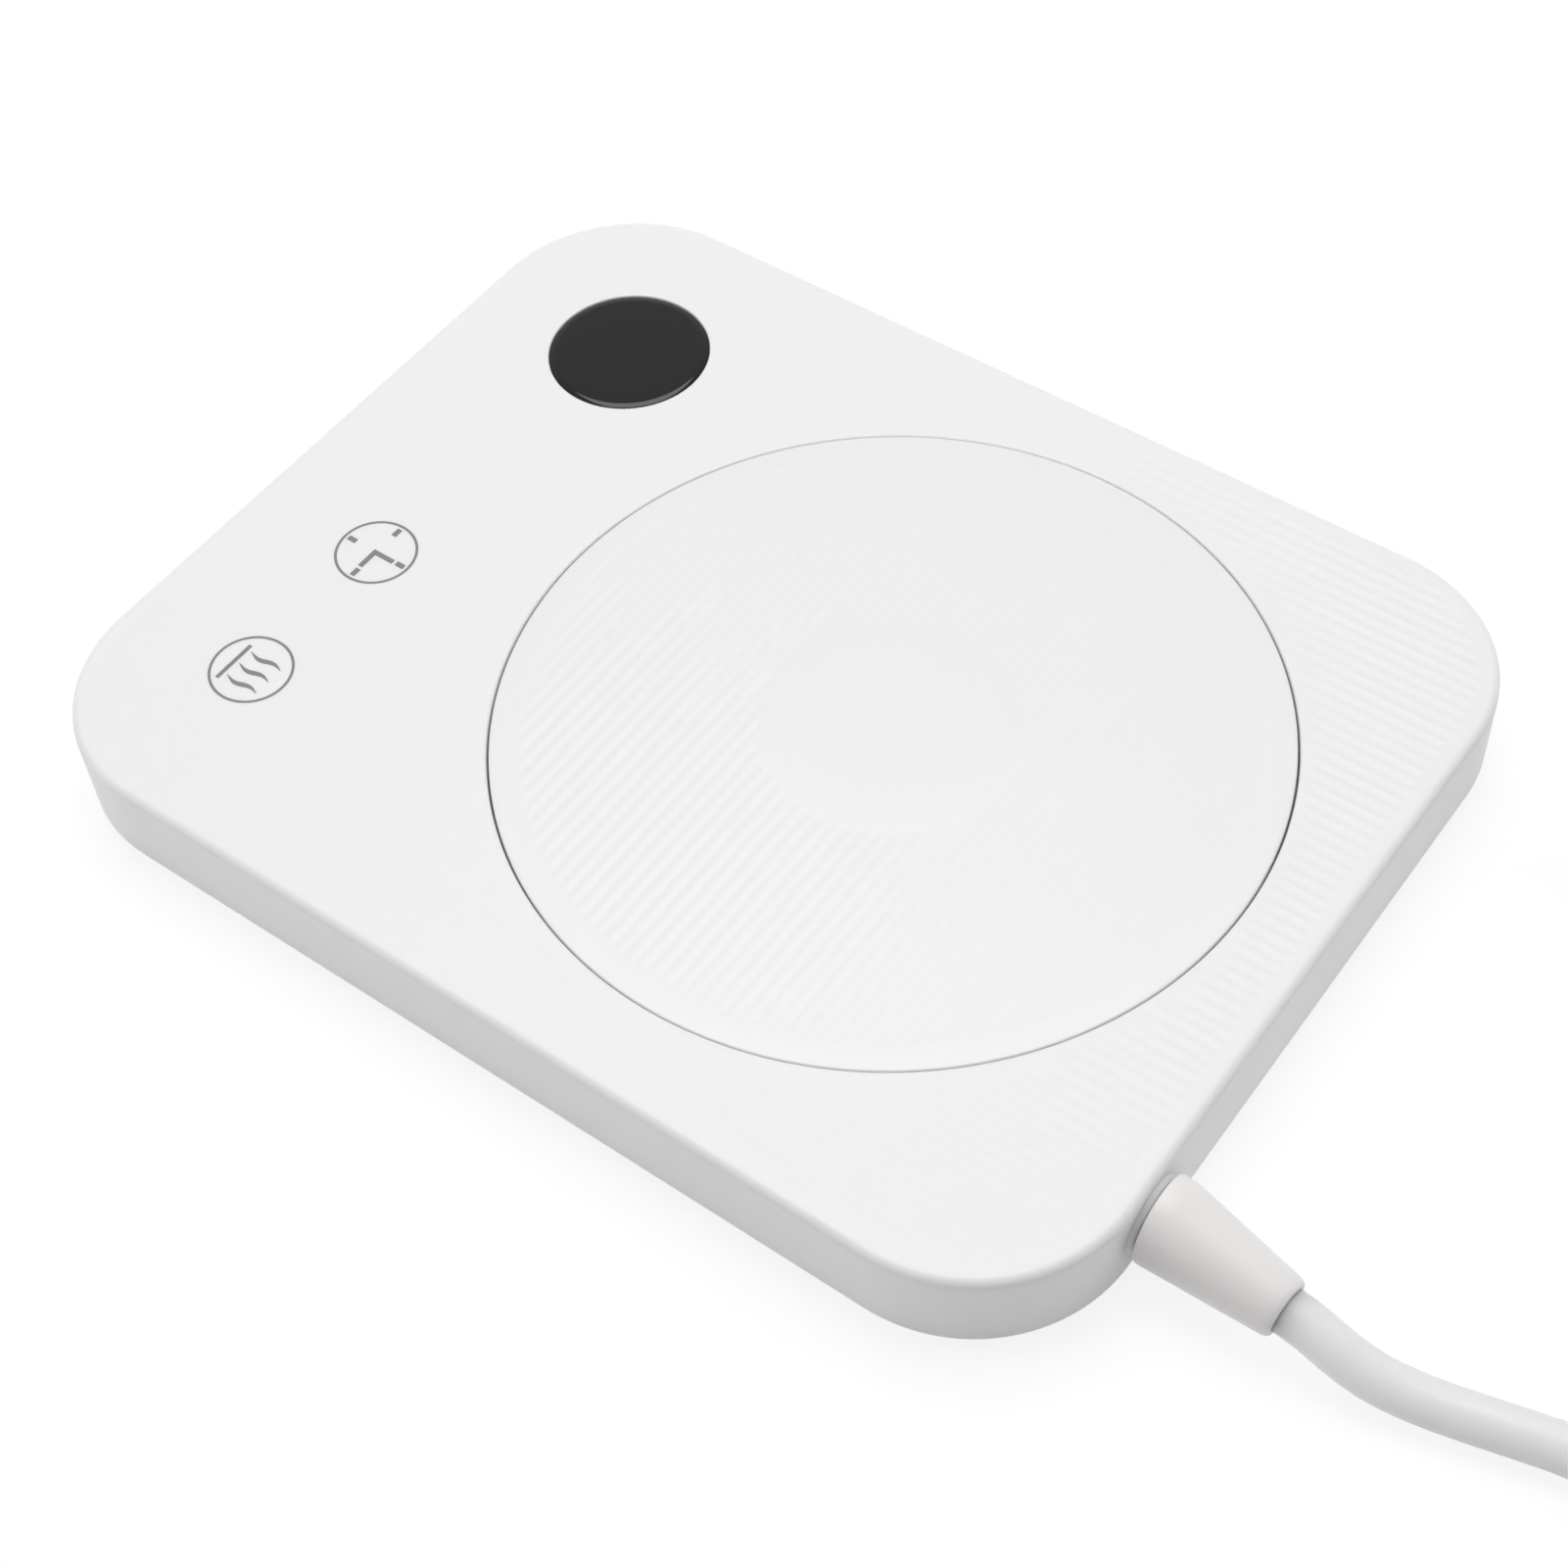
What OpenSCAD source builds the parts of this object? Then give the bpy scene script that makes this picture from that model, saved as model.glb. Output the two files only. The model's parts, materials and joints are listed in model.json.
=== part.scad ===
// Electric mug warmer: a flat rounded-rectangle housing with a sprung round warming plate,
// a black round display window, two printed touch keys and a mains lead at the rear corner.
// Origin: centre of the housing's outline, on the surface that it stands on. +Z up,
// -Y is the front (display and touch keys), +Y the rear (mains lead), +X the right.

/* [Housing] */
// Width of the housing, left to right
body_w = 135; // [125:1:162]
// Depth of the housing, front to rear
body_d = 170; // [160:1:204]
// Height of the housing, from its rim to its top face
body_h = 14.1; // [13.6:0.1:18]
// Radius of the four vertical corners
corner_r = 23.5; // [18:0.5:28]
// Wall thickness at the sides
wall = 2.2; // [1.8:0.1:2.6]
// Thickness of the top skin
top_t = 1.8; // [1.5:0.1:2.2]
// Rounding along the top edge
top_round = 1.3; // [0.6:0.1:1.6]
// Rounding along the bottom rim
rim_round = 0.6; // [0.3:0.1:0.8]

/* [Bottom cover] */
// Thickness of the bottom cover
cover_t = 2; // [1.6:0.1:2.4]
// How far the cover is set back above the housing's rim
cover_inset = 0.4; // [0.2:0.1:0.8]
// Gap between the cover and the side walls
cover_gap = 0.2; // [0.1:0.05:0.4]
// Distance of the cover screws from the outer faces
screw_edge = 11.5; // [11:0.5:14]

/* [Feet] */
// Diameter of a rubber foot
foot_d = 12; // [8:0.5:14]
// How far the feet lift the rim above the table
foot_lift = 1.4; // [1:0.1:3]
// Depth of the seat of a foot in the cover
foot_seat = 0.8; // [0.4:0.1:1]
// Distance of the feet from the side faces
foot_edge_x = 19.5; // [18:0.5:30]
// Distance of the feet from the front and rear faces
foot_edge_y = 27; // [25:0.5:40]

/* [Warming plate] */
// Diameter of the warming plate
plate_d = 110; // [90:1:112]
// Thickness of the plate
plate_t = 2; // [1.5:0.1:2.4]
// Gap between the plate and the opening round it
plate_gap = 0.45; // [0.35:0.05:0.8]
// Place of the plate's centre, to the right
plate_x = -0.8; // [-2:0.1:2]
// Distance of the plate's centre from the rear face
plate_rear = 66.7; // [64:0.1:72]
// How far the plate sinks under a mug
plate_travel = 1.2; // [0.6:0.1:1.4]
// Height of the collar that stops the plate, below the top skin
collar_h = 1.5; // [1:0.1:1.6]

/* [Plate stack] */
// Diameter of the heater mat
heater_d = 84; // [70:1:86]
// Thickness of the heater mat
heater_t = 0.8; // [0.5:0.1:1]
// Thickness of the insulation pad
pad_t = 0.8; // [0.5:0.1:1]
// Thickness of the carrier's floor
carrier_t = 1.2; // [1:0.1:1.6]
// How far the carrier's flange reaches under the collar
flange_reach = 2.6; // [2:0.1:3]
// Distance of the guide posts from the plate's centre
post_ring = 36; // [30:1:38]
// Diameter of a guide post
post_d = 4; // [3:0.2:5]
// Running clearance of a post in its guide, on the radius
post_fit = 0.08; // [0.05:0.01:0.1]

/* [Springs] */
// Wire of a plate spring
spring_wire = 0.5; // [0.4:0.1:0.7]
// Turns of a plate spring
spring_turns = 5; // [4:1:7]
// Wire of a touch spring
key_wire = 0.5; // [0.3:0.1:0.6]
// Diameter of a touch spring
key_spring_d = 9; // [7:0.5:10]
// Turns of a touch spring
key_turns = 4; // [3:1:6]

/* [Display and keys] */
// Diameter of the display window
lens_d = 24.6; // [18:0.1:26]
// Thickness of the display window
lens_t = 1.2; // [0.8:0.1:1.3]
// Place of the display, to the right of the middle
lens_x = -39.1; // [-42:0.1:-34]
// Distance of the display's centre from the front face
lens_front = 28; // [27:0.1:30]
// Place of the clock key, to the right of the middle
clock_x = 14.3; // [8:0.1:17]
// Place of the heat key, to the right of the middle
heat_x = 41; // [38:0.1:43]
// Distance of both keys from the front face
key_front = 23.1; // [21:0.1:25]

/* [Control board] */
// Width of the control board
board_w = 100; // [98:0.5:101]
// Depth of the control board
board_d = 35; // [34:0.5:36]
// Thickness of the boards
board_t = 1.6; // [1.2:0.1:1.6]
// Distance of the board's front edge from the front face
board_front = 7.5; // [7:0.1:8]
// Height of the board's top face above the cover
board_rise = 3.4; // [3.2:0.1:3.6]

/* [Mains lead] */
// Diameter of the round lead
cord_d = 6.2; // [5:0.1:6.6]
// Place of the lead's exit, to the right of the middle
cord_x = 39.7; // [36:0.1:42]
// Height of the lead's exit above the rim
cord_rise = 7; // [6.5:0.1:7.5]
// Height of the ring round the exit, on the rear wall
exit_ring_h = 1; // [0.6:0.1:1.2]
// Length of the tapered strain relief
relief_l = 18.5; // [18.5:0.5:30]
// Diameter of the strain relief at its root
relief_root_d = 12.4; // [11:0.1:12.6]
// Diameter of the strain relief at its tip
relief_tip_d = 8.5; // [7.5:0.1:9]
// Sideways lean of the strain relief, in degrees
relief_yaw = 4.4; // [0:0.1:6]
// Droop of the strain relief, in degrees
relief_droop = 3.5; // [0:0.1:5]

/* [Plug] */
// Width of the plug's body
plug_w = 24; // [20:1:28]
// Height of the plug's body
plug_h = 16; // [14:0.5:18]
// Length of the plug's body
plug_l = 27; // [22:1:32]
// Length of the plug's own strain relief
plug_neck_l = 18; // [12:1:20]
// Length of the blades outside the plug
blade_l = 17; // [16:0.5:18]
// Width of a blade
blade_w = 6.3; // [6:0.1:6.5]
// Thickness of a blade
blade_t = 1.5; // [1.3:0.1:1.6]
// Distance between the two blades
blade_pitch = 12.7; // [12.5:0.1:13]

/* [Hidden] */

$fn = 64;
eps = 0.01;     // overrun of a cut past the face that it opens
seat = 0.1;     // play between fixed pieces that fit into each other
clear = 0.3;    // gap between pieces that move past each other

// Heights, from the table up
rim_z = foot_lift;
cover_z = rim_z + cover_inset;
floor_z = cover_z + cover_t;
top_z = rim_z + body_h;
ceiling_z = top_z - top_t;
plate_z = top_z - plate_t;
heater_z = plate_z - heater_t;
pad_z = heater_z - pad_t;
collar_z = ceiling_z - collar_h;
carrier_top_z = min(pad_z, collar_z - clear);
carrier_z = carrier_top_z - carrier_t;
board_z = floor_z + board_rise - board_t;
board_top_z = board_z + board_t;
cord_z = rim_z + cord_rise;

// Places in plan
inner_r = corner_r - wall;
front_y = -body_d / 2;
rear_y = body_d / 2;
rear_wall_y = rear_y - wall;
plate_y = rear_y - plate_rear;
lens_y = front_y + lens_front;
key_y = front_y + key_front;
screw_x = body_w / 2 - screw_edge;
screw_y = body_d / 2 - screw_edge;
board_y = front_y + board_front + board_d / 2;
board_screw_x = board_w / 2 - 3.5;
board_screw_y = board_d / 2 - 3.5;

// The moving stack, on the radius
plate_r = plate_d / 2;
opening_r = plate_r + plate_gap;
collar_r = opening_r + 1.6;
flange_r = opening_r + flange_reach;
carrier_wall = 3.6;
post_len = carrier_z - plate_travel - clear - floor_z;
post_r = post_d / 2;
guide_bore_r = post_r + post_fit;
guide_r = guide_bore_r + 1.5;
guide_top_z = carrier_z - plate_travel - 0.9;
spring_r = guide_r + 0.5 + spring_wire;
post_angles = [90, 210, 330];
stud_angles = [30, 150, 270];
stud_ring = plate_r - 7.5;
stud_r = 2.4;
heater_r = min(heater_d / 2, stud_ring - stud_r - 1);

// Screws
screw_core_r = 1.3;
screw_hole_r = 1.5;
screw_head_r = 2.6;
screw_head_h = 1.1;
boss_r = 3.2;

// Switch under the plate
switch_w = 6;
switch_board_t = 1.2;
switch_stand = 0.8;
switch_z = floor_z + switch_stand + switch_board_t;
plunger_r = 1.6;
plunger_fit = 0.06;
plunger_top_z = carrier_z - clear;
switch_top_z = plunger_top_z - plate_travel - 0.4;
plunger_l = 2.7;

// Leads of the heater
lead_rise = 1.2;
lead_slot_x = 6;

// Mains lead
cord_r = cord_d / 2;
neck_r = 4;
relief_gap = 0.45;
exit_face_y = rear_y + exit_ring_h;
relief_root_y = exit_face_y + relief_gap;
clamp_y = rear_wall_y - 9;
clamp_w = 18;
clamp_screw_x = 6.6;
clamp_t = 1.2;

// Centre of the strain relief's tip
tip_x = cord_x + relief_l * sin(relief_yaw);
tip_y = relief_root_y + relief_l * cos(relief_yaw);
tip_z = cord_z - relief_l * sin(relief_droop);

// Route of the lead on the table: steps from the tip to the right and to the rear, and
// the share of the tip's height that is left
lead_steps = [
    [0, -0.1, 1], [0.2, 3, 0.93], [0.4, 6, 0.74], [0.4, 9, 0.48], [0.2, 12, 0.26],
    [-0.3, 15, 0.1], [-1.1, 19, 0.01], [-2, 23, 0], [-3, 27, 0], [-4, 31, 0],
    [-4.9, 35, 0], [-5.4, 40, 0], [-5.65, 47, 0], [-5.7, 55, 0], [-5.7, 63, 0], [-5.7, 69, 0]];

// The coiled middle of the lead, and the plug that hangs on its top turn
coil_outer_r = 44.4;
coil_turns = 3;
coil_pitch = 1.02 * cord_d;
coil_layers = 2;
coil_x = tip_x - 5.7 - coil_outer_r;
coil_y = tip_y + 83;
plug_x = coil_x - coil_outer_r;
plug_y = coil_y - 25;
plug_z = plug_h / 2;
// Steps of the tail ahead of the coil's centre line, and the share of its drop to the plug
tail_steps = [[14, 0], [17, 0.1], [20, 0.4], [23, 0.85], [26, 1]];

// ---------- Helpers ----------

function unit(v) = v / norm(v);

// Point at share t of the stretch b to c, on a smooth curve through a, b, c and d
function curve_point(a, b, c, d, t) =
    0.5 * (2 * b + (c - a) * t + (2 * a - 5 * b + 4 * c - d) * t * t
        + (3 * b - a - 3 * c + d) * t * t * t);

// A smooth path through the given points, with a number of steps for each stretch
function smooth(p, steps) = [
    for (i = [0 : len(p) - 2]) for (s = [0 : steps - 1])
        curve_point(p[max(i - 1, 0)], p[i], p[i + 1], p[min(i + 2, len(p) - 1)], s / steps),
    p[len(p) - 1]];

function heading(p, i) = unit(p[min(i + 1, len(p) - 1)] - p[max(i - 1, 0)]);

// Level direction square to the direction t
function level_side(t) = unit(cross(t, [0, 0, 1]));

// One ring of a tube: points round p, square to the direction t
function ring(p, t, r, sides) = let (across = level_side(t), up = cross(across, t))
    [for (k = [0 : sides - 1]) let (a = 360 * (k + 0.5) / sides) p + r * (cos(a) * across + sin(a) * up)];

// A tube of radius r along a path that is nowhere vertical
module tube(path, r, sides) {
    n = len(path);
    points = [for (i = [0 : n - 1]) each ring(path[i], heading(path, i), r, sides)];
    sides_faces = [for (i = [0 : n - 2]) for (k = [0 : sides - 1]) let (
        a = i * sides + k, b = i * sides + (k + 1) % sides) each [
            [a, a + sides, b + sides], [a, b + sides, b]]];
    start_face = [for (k = [0 : sides - 1]) k];
    end_face = [for (k = [sides - 1 : -1 : 0]) (n - 1) * sides + k];
    polyhedron(points, concat([start_face], sides_faces, [end_face]), convexity = 6);
}

// A coil spring from height z0 to z1 about the vertical axis
module coil_spring(mean_r, wire_d, turns, z0, z1) {
    steps = 12;
    low = z0 + wire_d / 2;
    rise = z1 - z0 - wire_d;
    path = [for (i = [0 : turns * steps]) let (a = 360 * i / steps)
        [mean_r * cos(a), mean_r * sin(a), low + rise * i / (turns * steps)]];
    tube(path, wire_d / 2, 6);
}

module at_four(x, y) {
    for (sx = [-1, 1]) for (sy = [-1, 1]) translate([sx * x, sy * y, 0]) children();
}

module at_plate() {
    translate([plate_x, plate_y, 0]) children();
}

module on_ring(r, angles) {
    for (a = angles) translate([r * cos(a), r * sin(a), 0]) children();
}

module between(z0, z1) {
    translate([0, 0, z0]) linear_extrude(z1 - z0) children();
}

module disc(r, z0, z1) {
    translate([0, 0, z0]) cylinder(r = r, h = z1 - z0);
}

module block(size, z0, z1) {
    translate([-size[0] / 2, -size[1] / 2, z0]) cube([size[0], size[1], z1 - z0]);
}

module rounded_rect(w, d, r) {
    square([w - 2 * r, d], center = true);
    square([w, d - 2 * r], center = true);
    for (sx = [-1, 1]) for (sy = [-1, 1]) translate([sx * (w / 2 - r), sy * (d / 2 - r)]) circle(r);
}

// Half section of the housing from its axis out to the wall, with both edges rounded
module half_section(half) {
    translate([0, rim_round]) square([half, body_h - rim_round - top_round]);
    square([half - rim_round, rim_round + eps]);
    translate([half - rim_round, rim_round]) circle(rim_round);
    translate([0, body_h - top_round - eps]) square([half - top_round, top_round + eps]);
    translate([half - top_round, body_h - top_round]) circle(top_round);
}

module full_section(half) {
    half_section(half);
    mirror([1, 0]) half_section(half);
}

// Outer form of the housing: two crossing bars and four turned corners
module housing_form() {
    bar_x = body_w - 2 * corner_r;
    bar_y = body_d - 2 * corner_r;
    translate([0, 0, rim_z]) {
        translate([0, bar_y / 2, 0]) rotate([90, 0, 0]) linear_extrude(bar_y) full_section(body_w / 2);
        translate([-bar_x / 2, 0, 0]) rotate([90, 0, 90]) linear_extrude(bar_x) full_section(body_d / 2);
        at_four(bar_x / 2, bar_y / 2) rotate_extrude() half_section(corner_r);
    }
}

// ---------- Housing ----------

module casing_boss(z0, core_r) {
    difference() {
        disc(boss_r, z0, ceiling_z + eps);
        disc(core_r, z0 - eps, ceiling_z - 1);
    }
}

module top_casing() {
    color("white") difference() {
        union() {
            difference() {
                housing_form();
                between(rim_z - 1, ceiling_z) rounded_rect(body_w - 2 * wall, body_d - 2 * wall, inner_r);
            }
            // collar that stops the carrier's flange
            at_plate() disc(collar_r, collar_z, ceiling_z + eps);
            // bosses of the cover screws and of the control board
            at_four(screw_x, screw_y) casing_boss(floor_z, screw_core_r);
            translate([0, board_y, 0]) at_four(board_screw_x, board_screw_y)
                casing_boss(board_top_z, screw_core_r);
            // ring round the exit of the mains lead
            translate([cord_x, exit_face_y, cord_z]) rotate([90, 0, 0])
                cylinder(d = relief_root_d + 0.2, h = exit_ring_h + wall / 2);
        }
        // opening of the warming plate
        at_plate() disc(opening_r, collar_z - 1, top_z + 1);
        // window of the display, and the seat of its lens
        translate([lens_x, lens_y, 0]) {
            disc(lens_d / 2 - 2, ceiling_z - 1, top_z + 1);
            disc(lens_d / 2 + seat, top_z - lens_t, top_z + 1);
        }
        // hole of the strain relief's neck
        translate([cord_x, exit_face_y + 1, cord_z]) rotate([90, 0, 0])
            cylinder(r = neck_r + seat, h = wall + exit_ring_h + 2);
    }
}

module guide() {
    disc(guide_r, floor_z - eps, guide_top_z);
}

module guide_bore() {
    disc(guide_bore_r, floor_z, guide_top_z + 1);
}

module bottom_cover() {
    gap = wall + cover_gap;
    color("whitesmoke") difference() {
        union() {
            between(cover_z, floor_z)
                rounded_rect(body_w - 2 * gap, body_d - 2 * gap, corner_r - gap);
            at_plate() {
                on_ring(post_ring, post_angles) guide();
                // stand-offs and pegs of the switch board
                for (sx = [-1, 1]) translate([sx * 7, 0, 0]) {
                    disc(1.8, floor_z - eps, floor_z + switch_stand);
                    disc(0.9, floor_z, switch_z + 0.6);
                }
            }
            // cradle under the lead
            translate([cord_x, clamp_y, 0]) block([clamp_w, 6], floor_z - eps, cord_z + cord_r - 0.6);
        }
        at_plate() on_ring(post_ring, post_angles) guide_bore();
        at_four(screw_x, screw_y) {
            disc(screw_hole_r, cover_z - 1, floor_z + 1);
            disc(screw_head_r + 0.3, cover_z - 1, cover_z + screw_head_h + 0.1);
        }
        at_four(body_w / 2 - foot_edge_x, body_d / 2 - foot_edge_y)
            disc(foot_d / 2 + seat, cover_z - 1, cover_z + foot_seat);
        // groove of the lead, and cores of the clamp's screws
        translate([cord_x, clamp_y + 4, cord_z]) rotate([90, 0, 0])
            cylinder(r = cord_r + seat / 2, h = 8);
        translate([cord_x, clamp_y, 0]) {
            block([cord_d + seat, 8], cord_z, cord_z + cord_r);
            for (sx = [-1, 1]) translate([sx * clamp_screw_x, 0, 0])
                disc(0.9, floor_z + 1, cord_z + cord_r);
        }
        // shallow bare field in the middle of the underside
        translate([0, -8, 0]) block([52, 30], cover_z - 1, cover_z + 0.3);
    }
}

module rubber_feet() {
    color("dimgray") at_four(body_w / 2 - foot_edge_x, body_d / 2 - foot_edge_y)
        disc(foot_d / 2, 0, cover_z + foot_seat);
}

module driven_screw(core_r, head_r, head_z, head_h, tip_z) {
    disc(head_r, head_z, head_z + head_h);
    disc(core_r, head_z + head_h - eps, tip_z);
}

module cover_screws() {
    head_z = cover_z + 0.1;
    color("silver") at_four(screw_x, screw_y) difference() {
        driven_screw(screw_core_r - 0.05, screw_head_r, head_z, screw_head_h - 0.1, floor_z + 6.5);
        block([3, 0.7], head_z - 1, head_z + 0.5);
        block([0.7, 3], head_z - 1, head_z + 0.5);
    }
}

// ---------- Warming plate and what rides with it ----------

module warming_plate() {
    color("white") at_plate() difference() {
        union() {
            disc(plate_r, plate_z, top_z);
            on_ring(stud_ring, stud_angles) disc(stud_r, carrier_top_z, plate_z + eps);
        }
        on_ring(stud_ring, stud_angles) disc(0.9, carrier_top_z - 1, plate_z + 0.6);
    }
}

module plate_carrier() {
    color("gainsboro") at_plate() difference() {
        union() {
            disc(flange_r, carrier_z, carrier_top_z);
            difference() {
                disc(plate_r - 0.4, carrier_z, plate_z);
                disc(plate_r - carrier_wall, carrier_top_z, plate_z + 1);
            }
            on_ring(post_ring, post_angles) disc(post_r, carrier_z - post_len, carrier_z + eps);
        }
        // room for the heater's leads, the thermal fuse and the plate's screws
        translate([lead_slot_x, -heater_r + 5, 0]) block([7, 7], carrier_z - 1, carrier_top_z + 1);
        translate([16, 12, 0]) block([13, 4], carrier_z - 1, carrier_top_z + 1);
        on_ring(stud_ring, stud_angles) disc(1.2, carrier_z - 1, carrier_top_z + 1);
    }
}

module plate_screws() {
    color("silver") at_plate() on_ring(stud_ring, stud_angles) {
        disc(2.1, carrier_z - 0.8, carrier_z);
        disc(0.85, carrier_z - eps, carrier_top_z + 1.2);
    }
}

module heater_mat() {
    color("peru") at_plate() difference() {
        disc(heater_r, heater_z, plate_z);
        translate([-8, 10, 0]) disc(1.6, heater_z - 1, plate_z + 1);
    }
}

module insulation_pad() {
    color("khaki") at_plate() difference() {
        disc(heater_r, pad_z, heater_z);
        translate([-8, 10, 0]) disc(1.6, pad_z - 1, heater_z + 1);
        translate([lead_slot_x, -heater_r + 5, 0]) block([7, 7], pad_z - 1, heater_z + 1);
        translate([16, 12, 0]) block([13, 4], pad_z - 1, heater_z + 1);
    }
}

module thermal_fuse() {
    r = 1.3;
    color("silver") at_plate() translate([16 - 5, 12, heater_z - r - 0.05]) rotate([0, 90, 0])
        cylinder(r = r, h = 10);
}

module temperature_sensor() {
    color("black") at_plate() translate([-8, 10, 0]) disc(1.2, pad_z + 0.1, plate_z - 0.05);
}

module plate_springs() {
    color("silver") at_plate() on_ring(post_ring, post_angles)
        coil_spring(spring_r, spring_wire, spring_turns, floor_z + 0.05, carrier_z - 0.05);
}

// ---------- Switch that feels the mug ----------

module switch_board() {
    color("darkgreen") at_plate() difference() {
        block([20, 12], floor_z + switch_stand, switch_z);
        for (sx = [-1, 1]) translate([sx * 7, 0, 0])
            disc(0.9 + seat, floor_z, switch_z + 1);
    }
}

module switch_body() {
    color("dimgray") at_plate() difference() {
        block([switch_w, switch_w], switch_z, switch_top_z);
        disc(plunger_r + plunger_fit, switch_z + 0.4, switch_top_z + 1);
    }
}

module switch_plunger() {
    color("ivory") at_plate() disc(plunger_r, plunger_top_z - plunger_l, plunger_top_z);
}

module switch_connector() {
    color("white") at_plate() translate([0, -4.4, 0])
        block([5, 2.6], switch_z, switch_z + 2);
}

module switch_lead() {
    z = floor_z + 0.85;
    edge_y = board_y + board_d / 2;
    lead_x = plate_x + 8;
    color("gray") tube(smooth([
        [plate_x, plate_y - 5.75, switch_z + 1], [plate_x + 0.3, plate_y - 8, switch_z + 0.7],
        [plate_x + 2, plate_y - 12, z + 0.3], [lead_x - 2, plate_y - 18, z],
        [lead_x, plate_y - 30, z], [lead_x, edge_y + 9, z], [lead_x, edge_y + 3.5, board_top_z - 0.6],
        [lead_x, edge_y + 0.6, board_top_z + 0.75], [lead_x, edge_y - 2.5, board_top_z + 0.75]],
        2), 0.7, 6);
}

// ---------- Control board and what it carries ----------

module on_board(x, y) {
    translate([x, board_y + y, 0]) children();
}

module control_board() {
    color("green") on_board(0, 0) difference() {
        block([board_w, board_d], board_z, board_top_z);
        at_four(board_screw_x, board_screw_y) disc(screw_hole_r, board_z - 1, board_top_z + 1);
    }
}

module board_screws() {
    head_h = 0.9;
    color("silver") on_board(0, 0) at_four(board_screw_x, board_screw_y)
        driven_screw(screw_core_r - 0.05, 2.3, board_z - head_h, head_h, board_top_z + 3.6);
}

module display_lens() {
    color("black") translate([lens_x, lens_y, 0]) disc(lens_d / 2, top_z - lens_t, top_z);
}

module display_module() {
    color("black") translate([lens_x, lens_y, 0])
        block([19, 13], board_top_z, top_z - lens_t - 1.4);
}

module touch_springs() {
    color("silver") for (x = [clock_x, heat_x]) translate([x, key_y, 0])
        coil_spring(key_spring_d / 2, key_wire, key_turns, board_top_z + 0.03, ceiling_z - 0.03);
}

module controller_chip() {
    color("black") on_board(-12, -6) block([10, 7.6], board_top_z, board_top_z + 2);
}

module buzzer() {
    color("black") on_board(-14, 9.5) difference() {
        disc(4.5, board_top_z, board_top_z + 4.2);
        disc(0.8, board_top_z + 3, board_top_z + 5);
    }
}

module filter_capacitor() {
    color("gold") on_board(27.6, -2) block([11.6, 15], board_top_z, board_top_z + 5.6);
}

module smoothing_capacitor() {
    r = 2.5;
    color("darkslateblue") on_board(12, 12.5) translate([-4.5, 0, board_top_z + r])
        rotate([0, 90, 0]) cylinder(r = r, h = 9);
}

module mains_fuse() {
    r = 1.8;
    color("silver") on_board(25.5, 12.5) translate([-5, 0, board_top_z + r])
        rotate([0, 90, 0]) cylinder(r = r, h = 10);
}

module triac() {
    color("black") on_board(-27, -13.5) block([10, 7], board_top_z, board_top_z + 3.4);
}

module mains_terminal() {
    color("seagreen") on_board(37, 12) difference() {
        block([9.6, 8], board_top_z, board_top_z + 5.6);
        for (sx = [-1, 1]) translate([sx * 2.4, 4.2, board_top_z + 2.4]) rotate([90, 0, 0])
            cylinder(r = 1.3, h = 3.5);
    }
}

module heater_connector() {
    color("white") on_board(-2, 13) difference() {
        block([8, 7], board_top_z, board_top_z + 4.6);
        for (sx = [-1, 1]) translate([sx * 1.9, 3.7, board_top_z + lead_rise]) rotate([90, 0, 0])
            cylinder(r = 1.05, h = 3.2);
    }
}

module mains_wires() {
    end_z = board_top_z + 2.4;
    end_y = board_y + 16;
    low_z = floor_z + 1.05;
    side_x = body_w / 2 - 6.6;
    middle = smooth([
        [cord_x, rear_wall_y - 13.9, cord_z], [cord_x, rear_wall_y - 16.5, cord_z - 0.1],
        [cord_x + 2.5, rear_wall_y - 21, cord_z - 0.8], [cord_x + 9, rear_wall_y - 29, low_z + 1],
        [side_x - 1.9, rear_wall_y - 42, low_z], [side_x, plate_y, low_z],
        [side_x - 0.9, plate_y - 30, low_z], [side_x - 5.4, plate_y - 48, low_z + 0.8],
        [46.5, end_y + 8.5, end_z - 1], [38, end_y + 5, end_z - 0.1],
        [37, end_y + 1, end_z], [37, end_y - 2, end_z]], 2);
    last = len(middle) - 1;
    color("saddlebrown") for (s = [-1, 1]) tube([for (i = [0 : last])
        let (apart = i < last - 6 ? 1.2 : 1.2 + 0.2 * (i - last + 6))
        middle[i] + s * apart * level_side(heading(middle, i))], 0.9, 6);
}

module heater_leads() {
    z = board_top_z + lead_rise;
    start_y = board_y + 13 + 3.5;
    end_y = plate_y - heater_r + 5;
    slot_x = plate_x + lead_slot_x;
    color("firebrick") for (s = [-1, 1]) tube(smooth([
        [-2 + 1.9 * s, start_y - 2, z], [-2 + 1.9 * s, start_y + 2, z],
        [slot_x - 2 + 1.3 * s, (start_y + end_y) / 2, z - 0.4],
        [slot_x + 1.2 * s, end_y - 5, z - 0.2], [slot_x + 1.2 * s, end_y - 1.6, z + 0.9],
        [slot_x + 1.2 * s, end_y - 0.6, carrier_z], [slot_x + 1.2 * s, end_y - 0.5, heater_z - 0.3]],
        2), 0.7, 6);
}

// ---------- Mains lead ----------

module cord_sheath_end() {
    color("white") translate([cord_x, rear_wall_y - 2 * seat - 1.6, cord_z]) rotate([90, 0, 0])
        cylinder(r = cord_r, h = 11.5);
}

module cord_clamp() {
    z = cord_z + cord_r;
    color("whitesmoke") translate([cord_x, clamp_y, 0]) difference() {
        block([clamp_w, 5], z, z + clamp_t);
        for (sx = [-1, 1]) translate([sx * clamp_screw_x, 0, 0]) disc(1.2, z - 1, z + clamp_t + 1);
    }
}

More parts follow.
